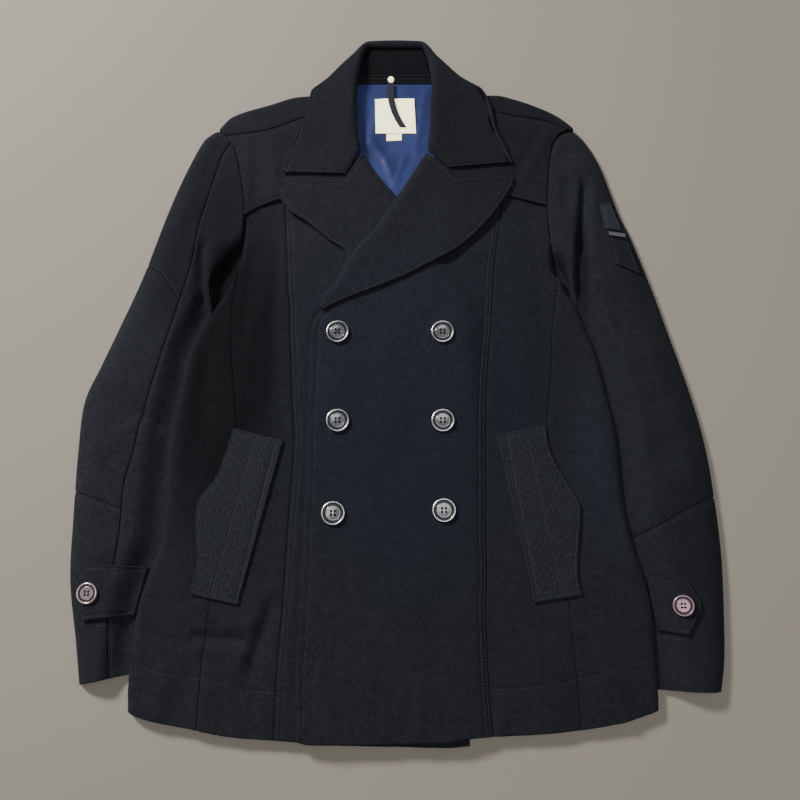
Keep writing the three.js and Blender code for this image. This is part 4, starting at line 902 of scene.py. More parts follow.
# %% [markdown]
# The lining is a royal blue satin, and it shows in the neck opening alone. Satin is smooth, with a soft
# shine, and it wrinkles where the cloth round it is stiff. Its wrinkles are low folds in the mesh, and the
# finish is less rough than the wool's, with a little sheen.

# %% Satin lining
def satin(tree, where):
    soft, thread = (noise(tree, where["Object"], scale, detail, 0.5) for scale, detail in ((30, 2), (1500, 1)))
    return {
        "Base Color": ramp(tree, soft, [(0.3, (0.0150, 0.0230, 0.0880)), (0.7, (0.0300, 0.0440, 0.1560))]),
        "Roughness": 0.44,
        "Specular IOR Level": 0.32,
        "Sheen Weight": 0.15,
        "Sheen Roughness": 0.3,
        "Normal": bump(tree, thread, 0.15, 0.0001),
    }


SATIN = new_material("blue_satin", satin)
LINING_WRINKLES = table(FOLD, [
    (-30, 262, -6, 226, 5, 0.9), (-22, 300, -38, 250, 6, 0.8), (30, 300, 22, 250, 5, 0.8), (26, 262, 4, 222, 6, -0.5),
    (34, 330, 30, 305, 5, 0.7), (-40, 332, -44, 300, 6, 0.7), (8, 240, -4, 200, 4, 0.8), (-14, 236, -4, 206, 4, 0.7),
])
lining_plan = coons(
    curved([(-20, 184), (-44, 215), (-56, 250), (-58, 300), (-54, NECK_SEAM)]),
    curved([(12, 184), (36, 215), (46, 250), (48, 300), (47, NECK_SEAM)]),
    bent([(-20, 184), (12, 184)]), bent([(-54, NECK_SEAM), (47, NECK_SEAM)]))
cloth("back_lining", SATIN, lining_plan,
      lambda p: LINING_TOP + fold_height(LINING_WRINKLES, p["x"], p["y"]) * smooth(p["y"], 196, 214),
      LINING_CLOTH, spacing=1.6, level=True)

# %% [markdown]
# Each front is three panels: a centre, a middle and a side panel that rolls under at the coat's side. They
# are sewn edge to edge, so they share their lines and meet in grooves.

# %% Fronts
def rim_radius(width):
    return np.minimum(SIDE_ROLL, 0.55 * width)


def rolled_edge(top, base, side):
    base_line = through(table("y z", base), "y", "z")

    def at(p):
        away = p["from_start"] if side == "start" else p["from_end"]
        high = top(p["x"], p["y"])
        low = np.minimum(base_line(p["y"]), high)
        return low + (high - low) * round_up(away, rim_radius(p["width"]))

    return at


def thin(width):
    return np.minimum(FRONT_CLOTH, 0.36 * width)


def under_lap(x):
    return yoke_edge(x) + LAP


def level_line(y):
    return lambda x: float(y)


HALF = SEAM / 2
LAP = 8
FREE_EDGE_ROW = 8.0
EDGE_SINK = 1.0
RIGHT_SIDE_TOP, LEFT_SIDE_TOP = 97, 88
SEAM_ROWS = {edge: [(edge, 2.5), (edge, 7.0)] for edge in ("start", "end")}
under_cloth, upper_cloth = body_cloth(under_top), body_cloth(upper_top)


def under_centre(p):
    """The right front sinks a little along the left front's free edge."""
    beside = (p["x"] - free_edge(p["y"]) + 1.5) / 3
    return under_cloth(p["x"], p["y"]) - EDGE_SINK * np.exp(-(beside ** 2))


RIGHT_SIDE_BASE = [(-380, 0), (-370, 0), (-354, TUCK_CLEAR), (54, TUCK_CLEAR), (72, 0), (100, 0)]
LEFT_SIDE_BASE = [(-380, TUCK_CLEAR), (54, TUCK_CLEAR), (72, 0), (100, 0)]
RIGHT_ARM_BASE = [(60, FRONT_TOP), (98, FRONT_TOP), (114, 0), (148, 0), (164, 8)]
LEFT_ARM_BASE = [(60, FRONT_TOP), (86, FRONT_TOP), (98, 0), (112, 0), (128, 9.6)]

cloth("front_right_side", WOOL,
      panel_plan(right_side, column("right_pocket_seam", -HALF), under_hem, level_line(RIGHT_SIDE_TOP)),
      rolled_edge(under_cloth, RIGHT_SIDE_BASE, "start"), thin, start_roll=rim_radius, seams="end")
cloth("front_right_middle", WOOL,
      panel_plan(column("right_pocket_seam", HALF), column("right_seam", -HALF), under_hem, under_lap),
      rolled_edge(under_cloth, RIGHT_ARM_BASE, "start"), FRONT_CLOTH,
      start_roll=rim_radius, seams="end")
cloth("front_right_centre", WOOL,
      panel_plan(column("right_seam", HALF), under_edge, under_hem, under_lap),
      under_centre,
      FRONT_CLOTH, seams="start", rows=SEAM_ROWS["start"])
cloth("front_left_centre", WOOL,
      panel_plan(free_edge, column("left_seam", -HALF), upper_hem, under_lap),
      lambda p: upper_cloth(p["x"], p["y"]), FRONT_CLOTH, seams="end",
      rows=[("start", FREE_EDGE_ROW, 0, 0.8), *SEAM_ROWS["end"]])
cloth("front_left_middle", WOOL,
      panel_plan(column("left_seam", HALF), column("left_pocket_seam", -HALF), upper_hem, under_lap),
      rolled_edge(upper_cloth, LEFT_ARM_BASE, "end"), FRONT_CLOTH, end_roll=rim_radius, seams="start")
cloth("front_left_side", WOOL,
      panel_plan(column("left_pocket_seam", HALF), left_side, upper_hem, level_line(LEFT_SIDE_TOP)),
      rolled_edge(upper_cloth, LEFT_SIDE_BASE, "end"), thin, end_roll=rim_radius, seams="start")

# %% [markdown]
# The yokes lie like flaps over the top of the fronts. The back's shoulder parts come over the shoulder and
# meet them in a forward shoulder seam.

# %% Yokes and shoulders
neck_right = through(table("y x", [(180, -30), (225, -50), (250, -58), (310, -58)]), "y", "x")
neck_left = through(table("y x", [(180, 34), (225, 36), (250, 48), (310, 48)]), "y", "x")
YOKE_STITCHES = [("bottom", 3.2), ("top", 3)]


def yoke(node, start, end, seams):
    cloth(node, WOOL, panel_plan(start, end, yoke_edge, lambda x: shoulder_seam(x) - SEAM),
          lambda p: YOKE_TOP + swell(p["x"], p["y"], 5, 50, 0.2) + fold_height(YOKE_FOLDS, p["x"], p["y"]),
          YOKE_CLOTH, seams=seams, rows=YOKE_STITCHES)


yoke("yoke_right", lambda y: right_side(y) + HALF, neck_right, "start top")
yoke("yoke_left", neck_left, lambda y: left_side(y) - HALF, "end top")


def shoulder_strip(node, arm_x, seam_step, neck_x):
    """seam_step is how far the seam's end lies inside the line's end, so that the strip's end meets the sleeve."""
    turn = math.copysign(1, arm_x)

    def seam(t):
        x = lerp(arm_x - turn * seam_step, neck_x, np.asarray(t, float))
        return np.stack([x, shoulder_seam(x) + SEAM], -1)

    line = across_line(shoulder_line, arm_x, neck_x)

    def roll(width):
        return np.minimum(SIDE_ROLL, 0.6 * width)

    cloth(node, WOOL,
          coons(seam, line, bent([seam(0), line(0)]), bent([seam(1), line(1)])),
          lambda p: YOKE_TOP * round_up(p["from_end"], roll(p["width"])),
          lambda width: np.minimum(BACK_CLOTH, 0.28 * width), end_roll=roll, seams="start bottom")


shoulder_strip("shoulder_right", -213.6, 8.8, -STRIP_END)
shoulder_strip("shoulder_left", 210.9, 5.5, STRIP_END - 4)

# %% [markdown]
# A lapel is the front turned back along its roll line. The roll isn't pressed flat, so the cloth stands
# highest just behind it. The left lapel lies over the right front and its outer part sinks onto the yoke.

# %% Lapels
ROLL = 8.0
ROLL_RISE, ROLL_REACH = 1.4, 16
RIGHT_LAPEL = {
    "roll": [(-53, 108), (-46, 115), (-20, 147), (-4, 172), (-4, 190), (-14, 204), (-26, 219), (-41, 243)],
    "outer": [(-56, 111), (-61, 121), (-80, 134), (-103, 154), (-124, 168), (-134, 182), (-136, 191), (-132, 199)],
    "top": [(-41, 243), (-59, 213), (-62, 208), (-125, 203), (-132, 199)],
}
LEFT_LAPEL = {
    "roll": [(-87, 50), (-83, 65), (-70, 80), (-52, 115), (-25, 148), (-2, 183), (18, 215), (33, 241)],
    "outer": [(-82, 48), (-62, 58), (3, 85), (35, 102), (62, 117), (85, 136), (107, 161), (125, 187), (135, 205)],
    "top": [(33, 241), (60, 217), (64, 210.5), (128, 216), (134, 213), (135, 205)],
}


def left_lapel_top(x):
    return LAPEL_FLAT_TOP + LAPEL_OVERLAP_LIFT * smooth(105 - x, 0, 58)


def lapel(node, outline, flat, fold, seed):
    def roll(width):
        return np.minimum(ROLL, 0.45 * width)

    def top(p):
        base, shown = fold(p["y"])
        behind = np.exp(-(((p["from_start"] - ROLL) / ROLL_REACH) ** 2))
        high = flat(p["x"]) + shown * ROLL_RISE * behind * np.clip(p["width"] / 60, 0, 1)
        high = high + swell(p["x"], p["y"], seed, 55, 0.16)
        return lerp(high, base, shown * (1 - round_up(p["from_start"], roll(p["width"]))))

    plan = coons(curved(outline["roll"]), curved(outline["outer"]),
                 bent([outline["roll"][0], outline["outer"][0]]), bent(outline["top"]))
    cloth(node, WOOL, plan, top, lambda width: np.minimum(LAPEL_CLOTH, 0.3 * width),
          spacing=2.2, start_roll=roll, rows=[("end", 4), ("top", 4)])


lapel("lapel_right", RIGHT_LAPEL, lambda x: RIGHT_LAPEL_TOP, lambda y: (9.4, smooth(y, 182, 198)),
      11)
lapel("lapel_left", LEFT_LAPEL, left_lapel_top, lambda y: (RIGHT_LAPEL_TOP + 0.6, 1.0),
      12)

# %% [markdown]
# The collar is one band that runs from one leaf round behind the neck to the other. Its inner edge stands
# up from the stand, its crest is the highest part, and behind the neck it falls to the surface.

# %% Collar
COLLAR_ROWS = table("near_x near_y far_x far_y lip crest edge", [
    (-60, 215, -134, 217, 13.5, 15.2, 15.2),
    (-51, 231, -127, 243, 13.2, 16, 15.2),
    (-44, 248, -120, 266, 13, 17, 15.2),
    (-48, 279, -110, 291, 13, 18, 15.2),
    (-49, 305, -106, 308, 13, 18.4, 15.2),
    (-48, 331, -104, 324, 13, 18.6, 14),
    (-45.5, 350, -85, 346, 13, 18.8, 0),
    (-42, 368, -62, 371, 14, 19, 0),
    (-34, 382.5, -35, 395, 15, 19, 0),
    (-3, 382.5, -3, 397, 15, 19, 0),
    (28, 382.5, 29, 395, 15, 19, 0),
    (36, 368, 54, 370, 14, 19, 0),
    (39.5, 350, 78, 346, 13, 18.8, 0),
    (41, 331, 102, 327, 13, 18.6, 14),
    (39, 305, 112, 304, 13, 18.4, 15.2),
    (38, 273, 116, 279, 13, 18, 15.2),
    (36, 249, 125, 256, 13, 17, 15.2),
    (47, 236, 130, 243, 13.2, 16, 15.2),
    (60, 223, 135, 230, 13.5, 15.2, 15.2),
])
CREST_AT = 7.0
OUTER_ROLL = 9.0
SLACK_REACH = 22
collar_line = {name: through([{**row, "k": number} for number, row in enumerate(COLLAR_ROWS)], "k", name)
               for name in COLLAR_ROWS[0]}
LAST_ROW = len(COLLAR_ROWS) - 1


def collar_plan(u, v):
    k = np.asarray(v, float) * LAST_ROW
    return np.stack([lerp(collar_line["near_" + axis](k), collar_line["far_" + axis](k), u) for axis in "xy"], -1)


def collar_near(width):
    return np.minimum(CREST_AT, 0.4 * width)


def collar_top(p):
    k = p["v"] * LAST_ROW
    lip, crest, edge = (collar_line[name](k) for name in ("lip", "crest", "edge"))
    near = collar_near(p["width"])
    slack = (crest - LEAF_TOP) * np.exp(-((np.maximum(p["from_start"] - near, 0) / SLACK_REACH) ** 2))
    high = LEAF_TOP + slack + swell(p["x"], p["y"], 21, 60, 0.16)
    inner = lip + (high - lip) * round_up(p["from_start"], near)
    edge = np.where(edge > LEAF_TOP - 0.1, high, edge)
    return edge + (inner - edge) * round_up(p["from_end"], np.minimum(OUTER_ROLL, 0.6 * p["width"]))


cloth("collar", WOOL, collar_plan, collar_top, LAPEL_CLOTH,
      spacing=2.4, start_roll=collar_near, rows=[("end", 4, 0, 0.3), ("end", 4, 0.7, 1), ("bottom", 4), ("top", 4)])

# %% [markdown]
# Inside the collar's back lies its stand, a band that slopes up from the neck seam and has three rows of
# stitches. It lies in the collar's own shade, so its wool is a copy painted much darker, as painted shade.

# %% Stand
STAND_LOW, STAND_HIGH = 340.5, 385.5
STAND_FOOT, STAND_HEAD = 4.8, 14.2
STAND_CLOTH = 2.6
STAND_SINK, STAND_LEAST = 3.4, 2.8
STAND_ROWS = [("bottom", distance) for distance in (5, 16, 27)]
stand_plan = coons(
    bent([(-50.5, STAND_LOW), (-50, 358), (-48, 370), (-41, STAND_HIGH)]),
    bent([(44.3, STAND_LOW), (44, 358), (42, 370), (35, STAND_HIGH)]),
    bent([(-50.5, STAND_LOW), (44.3, STAND_LOW)]), bent([(-41, STAND_HIGH), (35, STAND_HIGH)]))


def stand_height(y):
    return lerp(STAND_FOOT, STAND_HEAD, (y - STAND_LOW) / (STAND_HIGH - STAND_LOW))


def stand_top(p):
    """Its two ends sink under the collar's inner edge."""
    beside = np.minimum(p["from_start"], p["from_end"])
    sink = STAND_SINK * (1 - smooth(beside, 1, 7)) * smooth(p["y"], 345, 362)
    return np.maximum(stand_height(p["y"]) - sink, STAND_LEAST)


cloth("collar_stand", WOOL_PAINTED_SHADE, stand_plan, stand_top, STAND_CLOTH,
      rows=STAND_ROWS)

# %% [markdown]
# A sleeve laid flat is a low tube. Its outside is rounded, and its inner edge goes a little way under the
# body. The upper face is one surface, and the sewn parts are cut out of it by shares of its width and length.

# %% Sleeves
RIGHT_OUTER = [
    (-321, -348), (-329, -304), (-340.5, -244), (-343.5, -177), (-345, -110), (-343, -55), (-328.5, -14),
    (-312, 30), (-290.5, 90), (-268.5, 166), (-252, 215), (-233, 260), (-222.5, 272), (-214.8, 277)]
RIGHT_INNER = [
    (-262, -336), (-259, -280), (-240, -212), (-237, -160), (-234, -100), (-227, -50), (-219, 0),
    (-211, 30), (-207.5, 50), (-209, 66), (-207, 82), (-196, 101), (-187, 119), (-178, 139)]
LEFT_OUTER = [
    (327, -355), (333, -325), (337, -280), (340, -220), (338, -155), (333, -101), (322, -45), (303, 26),
    (289, 77), (270, 138), (259, 166), (248.5, 201), (238.5, 233), (224, 262), (210.8, 277)]
LEFT_INNER = [
    (254, -352), (254, -290), (244, -232), (237, -200), (231, -160), (229, -100), (221, -50), (212, 0),
    (204, 28), (202.5, 50), (196.5, 72), (188.5, 92), (181, 110), (176, 125)]
SLEEVE_COLUMNS = "v height roll end rolled seam"
RIGHT_SLEEVE_ROWS = table(SLEEVE_COLUMNS, [
    (0, 15, 25, TUCK_TOP, 0, 0.55), (0.2, 16, 26, TUCK_TOP, 0, 0.51), (0.33, 16, 27, TUCK_TOP, 0, 0.48),
    (0.44, 17, 28, TUCK_TOP, 0, 0.55), (0.62, 17, 26, TUCK_TOP, 0, 0.5), (0.76, 16, 24, TUCK_TOP, 0, 0.46),
    (0.84, 15, 20, ARMPIT_EDGE, 1, 0.4), (0.93, 13, 14, ARMPIT_EDGE, 1, 0.26), (1, 10.9, SIDE_ROLL, 7, 1, 0.14),
])
LEFT_SLEEVE_ROWS = table(SLEEVE_COLUMNS, [
    (0, 15, 25, TUCK_TOP, 0, 0), (0.2, 16, 26, TUCK_TOP, 0, 0), (0.44, 17, 28, TUCK_TOP, 0, 0),
    (0.62, 17, 26, TUCK_TOP, 0, 0), (0.83, 15.5, 22, TUCK_TOP, 0, 0), (0.89, 14.4, 18, ARMPIT_EDGE, 1, 0),
    (0.94, 13, 13, ARMPIT_EDGE, 1, 0), (1, 10.9, SIDE_ROLL, 7, 1, 0),
])
INNER_SPAN = 32.0
ARMHOLE_GAP = 0.3
RISE = (4.0, 31.0)
TUCK = 8.0


class Sleeve:
    """The whole upper face of a sleeve: u runs from its outside to its inner edge, v from cuff to shoulder."""

    def __init__(self, outer, inner, side, rows, folds, creases, seed):
        self.side, self.away = side, math.copysign(1, float(side(0)))
        self.folds, self.creases, self.seed = folds, creases, seed
        self.line = {name: through(rows, "v", name) for name in ("height", "roll", "end", "rolled", "seam")}
        high, low = outer[-1][1], inner[-1][1]
        armhole = up_line(lambda y: side(y) + self.away * ARMHOLE_GAP, high, low)
        self.plan = coons(curved([*outer[:-1], armhole(0.0)]), curved([*inner[:-1], armhole(1.0)]),
                          bent([outer[0], inner[0]]), armhole)

    def top(self, u, v):
        xy = self.plan(u, v)
        x, y = xy[..., 0], xy[..., 1]
        w = width_of(self.plan, v)
        from_start, from_end = u * w, (1 - u) * w
        span = np.minimum(INNER_SPAN, 0.4 * w)
        outer = round_up(from_start, np.minimum(self.line["roll"](v), 0.4 * w))
        beside_body = smooth(self.away * (x - self.side(y)), *RISE)
        share = lerp(beside_body, round_up(from_end, 0.7 * span), self.line["rolled"](v))
        mask = smooth(from_start, 3, 22) * smooth(from_end, TUCK + 2, 24)
        end = self.line["end"](v)
        fine = fold_height(self.creases, x, y) + swell(x, y, self.seed, 55, 0.4)
        folds = np.minimum(2 * share, 1) * (fold_height(self.folds, x, y) + fine)
        return outer * (end + (self.line["height"](v) - end) * share) + mask * folds


right_sleeve = Sleeve(RIGHT_OUTER, RIGHT_INNER, right_side, RIGHT_SLEEVE_ROWS,
                      RIGHT_SLEEVE_FOLDS, RIGHT_SLEEVE_CREASES, 31)
left_sleeve = Sleeve(LEFT_OUTER, LEFT_INNER, left_side, LEFT_SLEEVE_ROWS,
                     LEFT_SLEEVE_FOLDS, LEFT_SLEEVE_CREASES, 32)
for name, sleeve in (("right", right_sleeve), ("left", left_sleeve)):
    print(name, "sleeve, mm wide at the cuff and the elbow:", width_of(sleeve.plan, [0, 0.5]).round(1))

# %% [markdown]
# Each sewn part of a sleeve is a stretch of that face. Under it lies a plain under sleeve, which is the lower
# half of the tube pressed flat. It stays inside the upper one and comes up to the back's edge in the armpit.

# %% The parts of the sleeves
def sleeve_part(node, sleeve, low, high, start, end, seams, start_roll=None, end_roll=None, rows=()):
    def shares(u, v):
        at = lerp(low, high, np.asarray(v, float))
        return lerp(start(at), end(at), u), at

    def plan(u, v):
        return sleeve.plan(*shares(u, v))

    cloth(node, WOOL_SLEEVE, plan, lambda p: sleeve.top(*shares(p["u"], p["v"])), SLEEVE_CLOTH,
          start_roll=start_roll, end_roll=end_roll, seams=seams, rows=rows)


def outer_rim(width):
    return np.minimum(22.0, 0.6 * width)


def inner_rim(width):
    return np.minimum(14.0, 0.4 * width)


UNDER_END = 0.985  # the share of the outside line at which the under sleeve ends
UNDER_INSIDE = SLEEVE_CLOTH + 2.2


def under_sleeve(node, outer, inner, side, panel_side, panel_top, armpit):
    away = math.copysign(1, float(side(0)))
    outside, inside = curved(outer), curved(inner)

    def start(t):
        at = UNDER_END * np.asarray(t, float)
        step = outside(at + 0.01) - outside(np.maximum(at - 0.01, 0))
        step = step / np.linalg.norm(step, axis=-1, keepdims=True)
        inward = away * UNDER_INSIDE * (1 - 0.6 * smooth(at, 0.86, UNDER_END))
        return outside(at) + np.stack([-step[..., 1], step[..., 0]], -1) * inward[..., None]

    def side_line(y):
        beside = lerp(0.12, 1.1, smooth(y, armpit, armpit + 18)) + 4.4 * smooth(y, 226, 245)
        edge = lerp(side(y), panel_side(y), smooth(y, panel_top - 2, panel_top + 1))
        return edge + away * lerp(0.4 - TUCK, beside, smooth(y, 28, 60))

    def end(t):
        y = inside(t)[..., 1]
        return np.stack([side_line(y), y], -1)

    high, low = float(start(1.0)[1]) - 0.8, float(end(1.0)[1]) + 4
    armhole = [(float(side_line(y)), y) for y in np.linspace(high, low, 20)]
    plan = coons(start, end, bent([start(0.0), end(0.0)]), bent([start(1.0), *armhole, end(1.0)]))
    cloth(node, WOOL, plan, level_cloth(UNDER_SLEEVE_CLOTH), UNDER_SLEEVE_CLOTH,
          spacing=BACK_SPACING, level=True)


def long_seam(sign):
    return lambda v: right_sleeve.line["seam"](v) + sign * SEAM / width_of(right_sleeve.plan, v)


def whole(share):
    return lambda v: np.full(np.shape(v), float(share))


RIGHT_ARMPIT, LEFT_ARMPIT = 150, 114
under_sleeve("sleeve_right_under", RIGHT_OUTER, RIGHT_INNER, right_side, column("right_pocket_seam"),
             RIGHT_SIDE_TOP, RIGHT_ARMPIT)
under_sleeve("sleeve_left_under", LEFT_OUTER, LEFT_INNER, left_side, column("left_pocket_seam"),
             LEFT_SIDE_TOP, LEFT_ARMPIT)
CROSS = 0.0003  # half the gap at a cross seam, as a share of the sleeve
FOREARM, UPPER_ARM = 0.3, 0.71
CROSS_ROW = (3, 0.04, 0.96)
sleeve_part("sleeve_right_forearm", right_sleeve, 0, FOREARM - CROSS, whole(0), long_seam(-1), "end top",
            start_roll=outer_rim, rows=[("top", *CROSS_ROW)])
sleeve_part("sleeve_right_elbow", right_sleeve, FOREARM + CROSS, UPPER_ARM - CROSS, whole(0), long_seam(-1),
            "end top bottom", start_roll=outer_rim)
sleeve_part("sleeve_right_upper_arm", right_sleeve, UPPER_ARM + CROSS, 1, whole(0), long_seam(-1),
            "end bottom top", start_roll=outer_rim, rows=[("bottom", *CROSS_ROW)])
sleeve_part("sleeve_right_inner", right_sleeve, 0, 1, long_seam(1), whole(1), "start top", end_roll=inner_rim,
            rows=[("start", 2.5)])
sleeve_part("sleeve_left_forearm", left_sleeve, 0, FOREARM - CROSS, whole(0), whole(1), "top",
            start_roll=outer_rim, end_roll=inner_rim, rows=[("top", *CROSS_ROW)])
sleeve_part("sleeve_left_upper", left_sleeve, FOREARM + CROSS, 1, whole(0), whole(1), "bottom top",
            start_roll=outer_rim, end_roll=inner_rim)

# %% [markdown]
# What lies on another piece is made from that piece's own points, moved out. For the sleeves this needs the
# place on the sleeve's grid that lies under a point of the plan, which a few steps of Newton's rule find.

# %% Pieces that lie on others
def locate(plan, xy):
    """The shares u and v of a plan's grid that lie at the points xy."""
    u = np.full(xy.shape[:-1], 0.5)
    v = np.full(xy.shape[:-1], 0.5)
    step = 1e-3
    for _ in range(40):
        here = plan(u, v)
        u1, u0 = np.minimum(u + step, 1), np.maximum(u - step, 0)
        v1, v0 = np.minimum(v + step, 1), np.maximum(v - step, 0)
        across = (plan(u1, v) - plan(u0, v)) / (u1 - u0)[..., None]
        along = (plan(u, v1) - plan(u, v0)) / (v1 - v0)[..., None]
        gap = xy - here
        det = across[..., 0] * along[..., 1] - along[..., 0] * across[..., 1]
        du = (along[..., 1] * gap[..., 0] - along[..., 0] * gap[..., 1]) / det
        dv = (across[..., 0] * gap[..., 1] - across[..., 1] * gap[..., 0]) / det
        u = np.clip(u + np.clip(du, -0.2, 0.2), 0.002, 0.998)
        v = np.clip(v + np.clip(dv, -0.2, 0.2), 0, 1)
    return u, v


def on_sleeve(sleeve):
    return lambda xy: sleeve.top(*locate(sleeve.plan, xy))


def on_body(top):
    return lambda xy: top(xy[..., 0], xy[..., 1])


def dense(points, step=0.6):
    """A broken line with points close together."""
    points = np.array(points, float)
    run = np.concatenate([[0], np.cumsum(np.hypot(*np.diff(points, axis=0).T))])
    at = np.linspace(0, run[-1], max(int(run[-1] / step), 2))
    return np.stack([np.interp(at, run, points[:, k]) for k in (0, 1)], -1)


def apart(xy, line):
    """The distance from each point of xy to a broken line."""
    nearest = np.full(xy.shape[:-1], 1e3)
    for a, b in zip(line[:-1], line[1:]):
        t = np.clip(((xy - a) @ (b - a)) / max((b - a) @ (b - a), 1e-9), 0, 1)
        nearest = np.minimum(nearest, np.linalg.norm(xy - (a + t[..., None] * (b - a)), axis=-1))
    return nearest


def inner_row(plan, gap, edge, first=0.0, last=1.0):
    """The line that runs beside one edge of a plan, gap mm inside it."""
    run = np.linspace(first, last, 24)
    if edge in ("start", "end"):
        share = gap / width_of(plan, run)
        return plan(share if edge == "start" else 1 - share, run)
    share = gap / np.linalg.norm(plan(run, np.ones_like(run)) - plan(run, np.zeros_like(run)), axis=-1)
    return plan(run, share if edge == "bottom" else 1 - share)


TRIM_EDGE = np.array([0, 0.1, 0.3, 0.6, 1.0, 1.5])
TRIM_RADIUS = 1.2


def overlay(node, finish, plan, height, rest, thick, spacing=1.5, rows=(), grooves=(),
            grain=None):
    """rows are stitched lines and grooves plain ones, in pattern mm. grain is the line that the weave follows."""
    wide, long = width_of(plan, np.linspace(0, 1, 9)).max(), line_length(plan, 60)

    def marks(size):
        cells = max(int(size / spacing), 4)
        edge = TRIM_EDGE * min(size / 8, 1)
        inside = lerp(edge[-1], size - edge[-1], np.arange(1, cells) / cells)
        return np.concatenate([edge, inside, (size - edge)[::-1]]) / size

    U, V = np.meshgrid(marks(wide), marks(long))
    xy = plan(U, V)
    surface = np.dstack([xy, height(xy)])
    normal = grid_normals(surface)
    away = np.minimum(np.minimum(U, 1 - U) * wide, np.minimum(V, 1 - V) * long)
    round_off = rounding(away, min(FREE_SHARE * thick, TRIM_RADIUS))
    upper_drop = round_off
    for depth, lines in ((ROW_DEPTH, rows), (2 * ROW_DEPTH, grooves)):
        for line in lines:
            upper_drop = upper_drop + depth * np.exp(-((apart(xy, np.array(line)) / ROW_WIDTH) ** 2))
    for row in rows:
        line = dense(row)
        path = np.column_stack([line, height(line) + rest + thick - ROW_DEPTH + THREAD_SHOWS])
        STITCH_ROWS.append((group_of(node), path))
    upper_drop = np.minimum(upper_drop, thick * 0.5)
    upper = surface + normal * (rest + thick - upper_drop)[..., None]
    lower = surface + normal * (rest + np.minimum(round_off, thick * 0.45))[..., None]
    uv = np.dstack([U * wide, V * long])
    if grain is not None:
        a, b = (np.array(point, float) for point in grain)
        along = (b - a) / np.linalg.norm(b - a)
        beside = np.array([along[1], -along[0]])
        uv = np.dstack([np.abs((xy - a) @ beside), (xy - a) @ along])
    lay(shell("cloth_" + node, upper, lower, uv, finish), node, upper)


def between(lower, upper):
    low, high = bent(lower), bent(upper)
    return lambda u, v: lerp(low(u), high(u), np.asarray(v, float)[..., None])


print("a trim's rounded edge takes", TRIM_EDGE[-1], "mm of its grid")


# %% [markdown]
# The slanted pocket welts are of a ribbed twill, bluer than the wool and more worn on its ribs. The weave
# follows the welt's UV map, which runs along its inner edge. It is noise drawn out along the ribs, with a low
# wave across them.

# %% Ribbed twill
def ribbed(tree, where):
    stretch = add(tree, "ShaderNodeMapping", {"Vector": where["UV"], "Scale": (1, 0.3, 1)})
    cords = noise(tree, stretch.outputs["Vector"], 700, 3, 0.6)
    worn = noise(tree, where["Object"], 900, 3, 0.7)
    wave = {"Vector": where["UV"], "Scale": 82, "Distortion": 0.8, "Detail": 2, "Detail Scale": 2}
    rib = add(tree, "ShaderNodeTexWave", wave).outputs["Fac"]
    weave = mix(tree, "FLOAT", 0.06, mix(tree, "FLOAT", 0.45, cords, worn), rib)
    return {
        "Base Color": ramp(tree, weave, [
            (0.38, (0.0044, 0.0052, 0.0074)), (0.5, (0.0096, 0.0110, 0.0152)), (0.64, (0.0250, 0.0280, 0.0370))]),
        "Roughness": 0.85,
        "Specular IOR Level": 0.22,
        "Sheen Weight": 0.06,
        "Sheen Tint": (0.7, 0.76, 0.95, 1),
        "Normal": bump(tree, weave, 0.9, 0.0008),
    }


RIBBED = new_material("ribbed_twill", ribbed)

# %% [markdown]
# A welt is one strip of that cloth, sewn down along its edges, with a groove and two rows of stitches where
# its inner edge is folded. It lies on the front and takes its height from it.

# %% Pockets
POCKET_SPACING = 1.3
WELT_LOW, WELT_HIGH = 3.4, 9.0  # how far the groove is from the inner edge, at its lower and its upper end
WELT_ROWS = [(-2.2, -2.4), (2.4, 2.4), (26, 22)]
RIGHT_POCKET = {
    "inner": [(-163, -270), (-122, -100)],
    "outer": [(-213, -259), (-207, -225), (-211, -180), (-206, -158), (-193, -140), (-184, -116), (-176, -86)],
}
LEFT_POCKET = {
    "inner": [(140, -268), (106, -92)],
    "outer": [(189, -260), (186, -233), (192, -180), (190, -163), (165, -116), (159, -84)],
}


def pocket(node, shape, height, side):
    """The weave and the inner rows run along the inner edge. The rows draw closer to it lower down."""
    inner, outer = shape["inner"], shape["outer"]
    plan = coons(curved(outer), bent(inner), bent([outer[0], inner[0]]), bent([outer[-1], inner[-1]]))
    low, high = (np.array(point, float) for point in inner)
    along = (high - low) / np.linalg.norm(high - low)
    inward = side * np.array([along[1], -along[0]])

    def beside(more_low, more_high):
        return [low + inward * (WELT_LOW + more_low) + along * 3, high + inward * (WELT_HIGH + more_high) - along * 3]

    rows = [beside(*more) for more in WELT_ROWS]
    rows += [inner_row(plan, gap, edge) for gap, edge in ((3, "start"), (4, "bottom"), (4, "top"))]
    overlay(node, RIBBED, plan, on_body(height), REST, POCKET_CLOTH,
            spacing=POCKET_SPACING, rows=rows, grooves=[beside(0, 0)], grain=inner)


pocket("pocket_right", RIGHT_POCKET, under_cloth, -1)
pocket("pocket_left", LEFT_POCKET, upper_cloth, 1)

# %% [markdown]
# Cuff tabs, the small sleeve pocket and the badge follow the round of the sleeves. The badge is a patch of
# bluish twill, and it carries no mark.

# %% Tabs, badge and sleeve pocket
def woven_material(name, dark, light, scale=900, painted_glow=None):
    def build(tree, where):
        grain = noise(tree, where["Object"], scale, 3, 0.6)
        inputs = {"Base Color": ramp(tree, grain, [(0.3, dark), (0.7, light)]), "Roughness": 0.8,
                  "Normal": bump(tree, grain, 0.4, 0.0002)}
        return {**inputs, **(painted_glow or {})}

    return new_material(name, build)


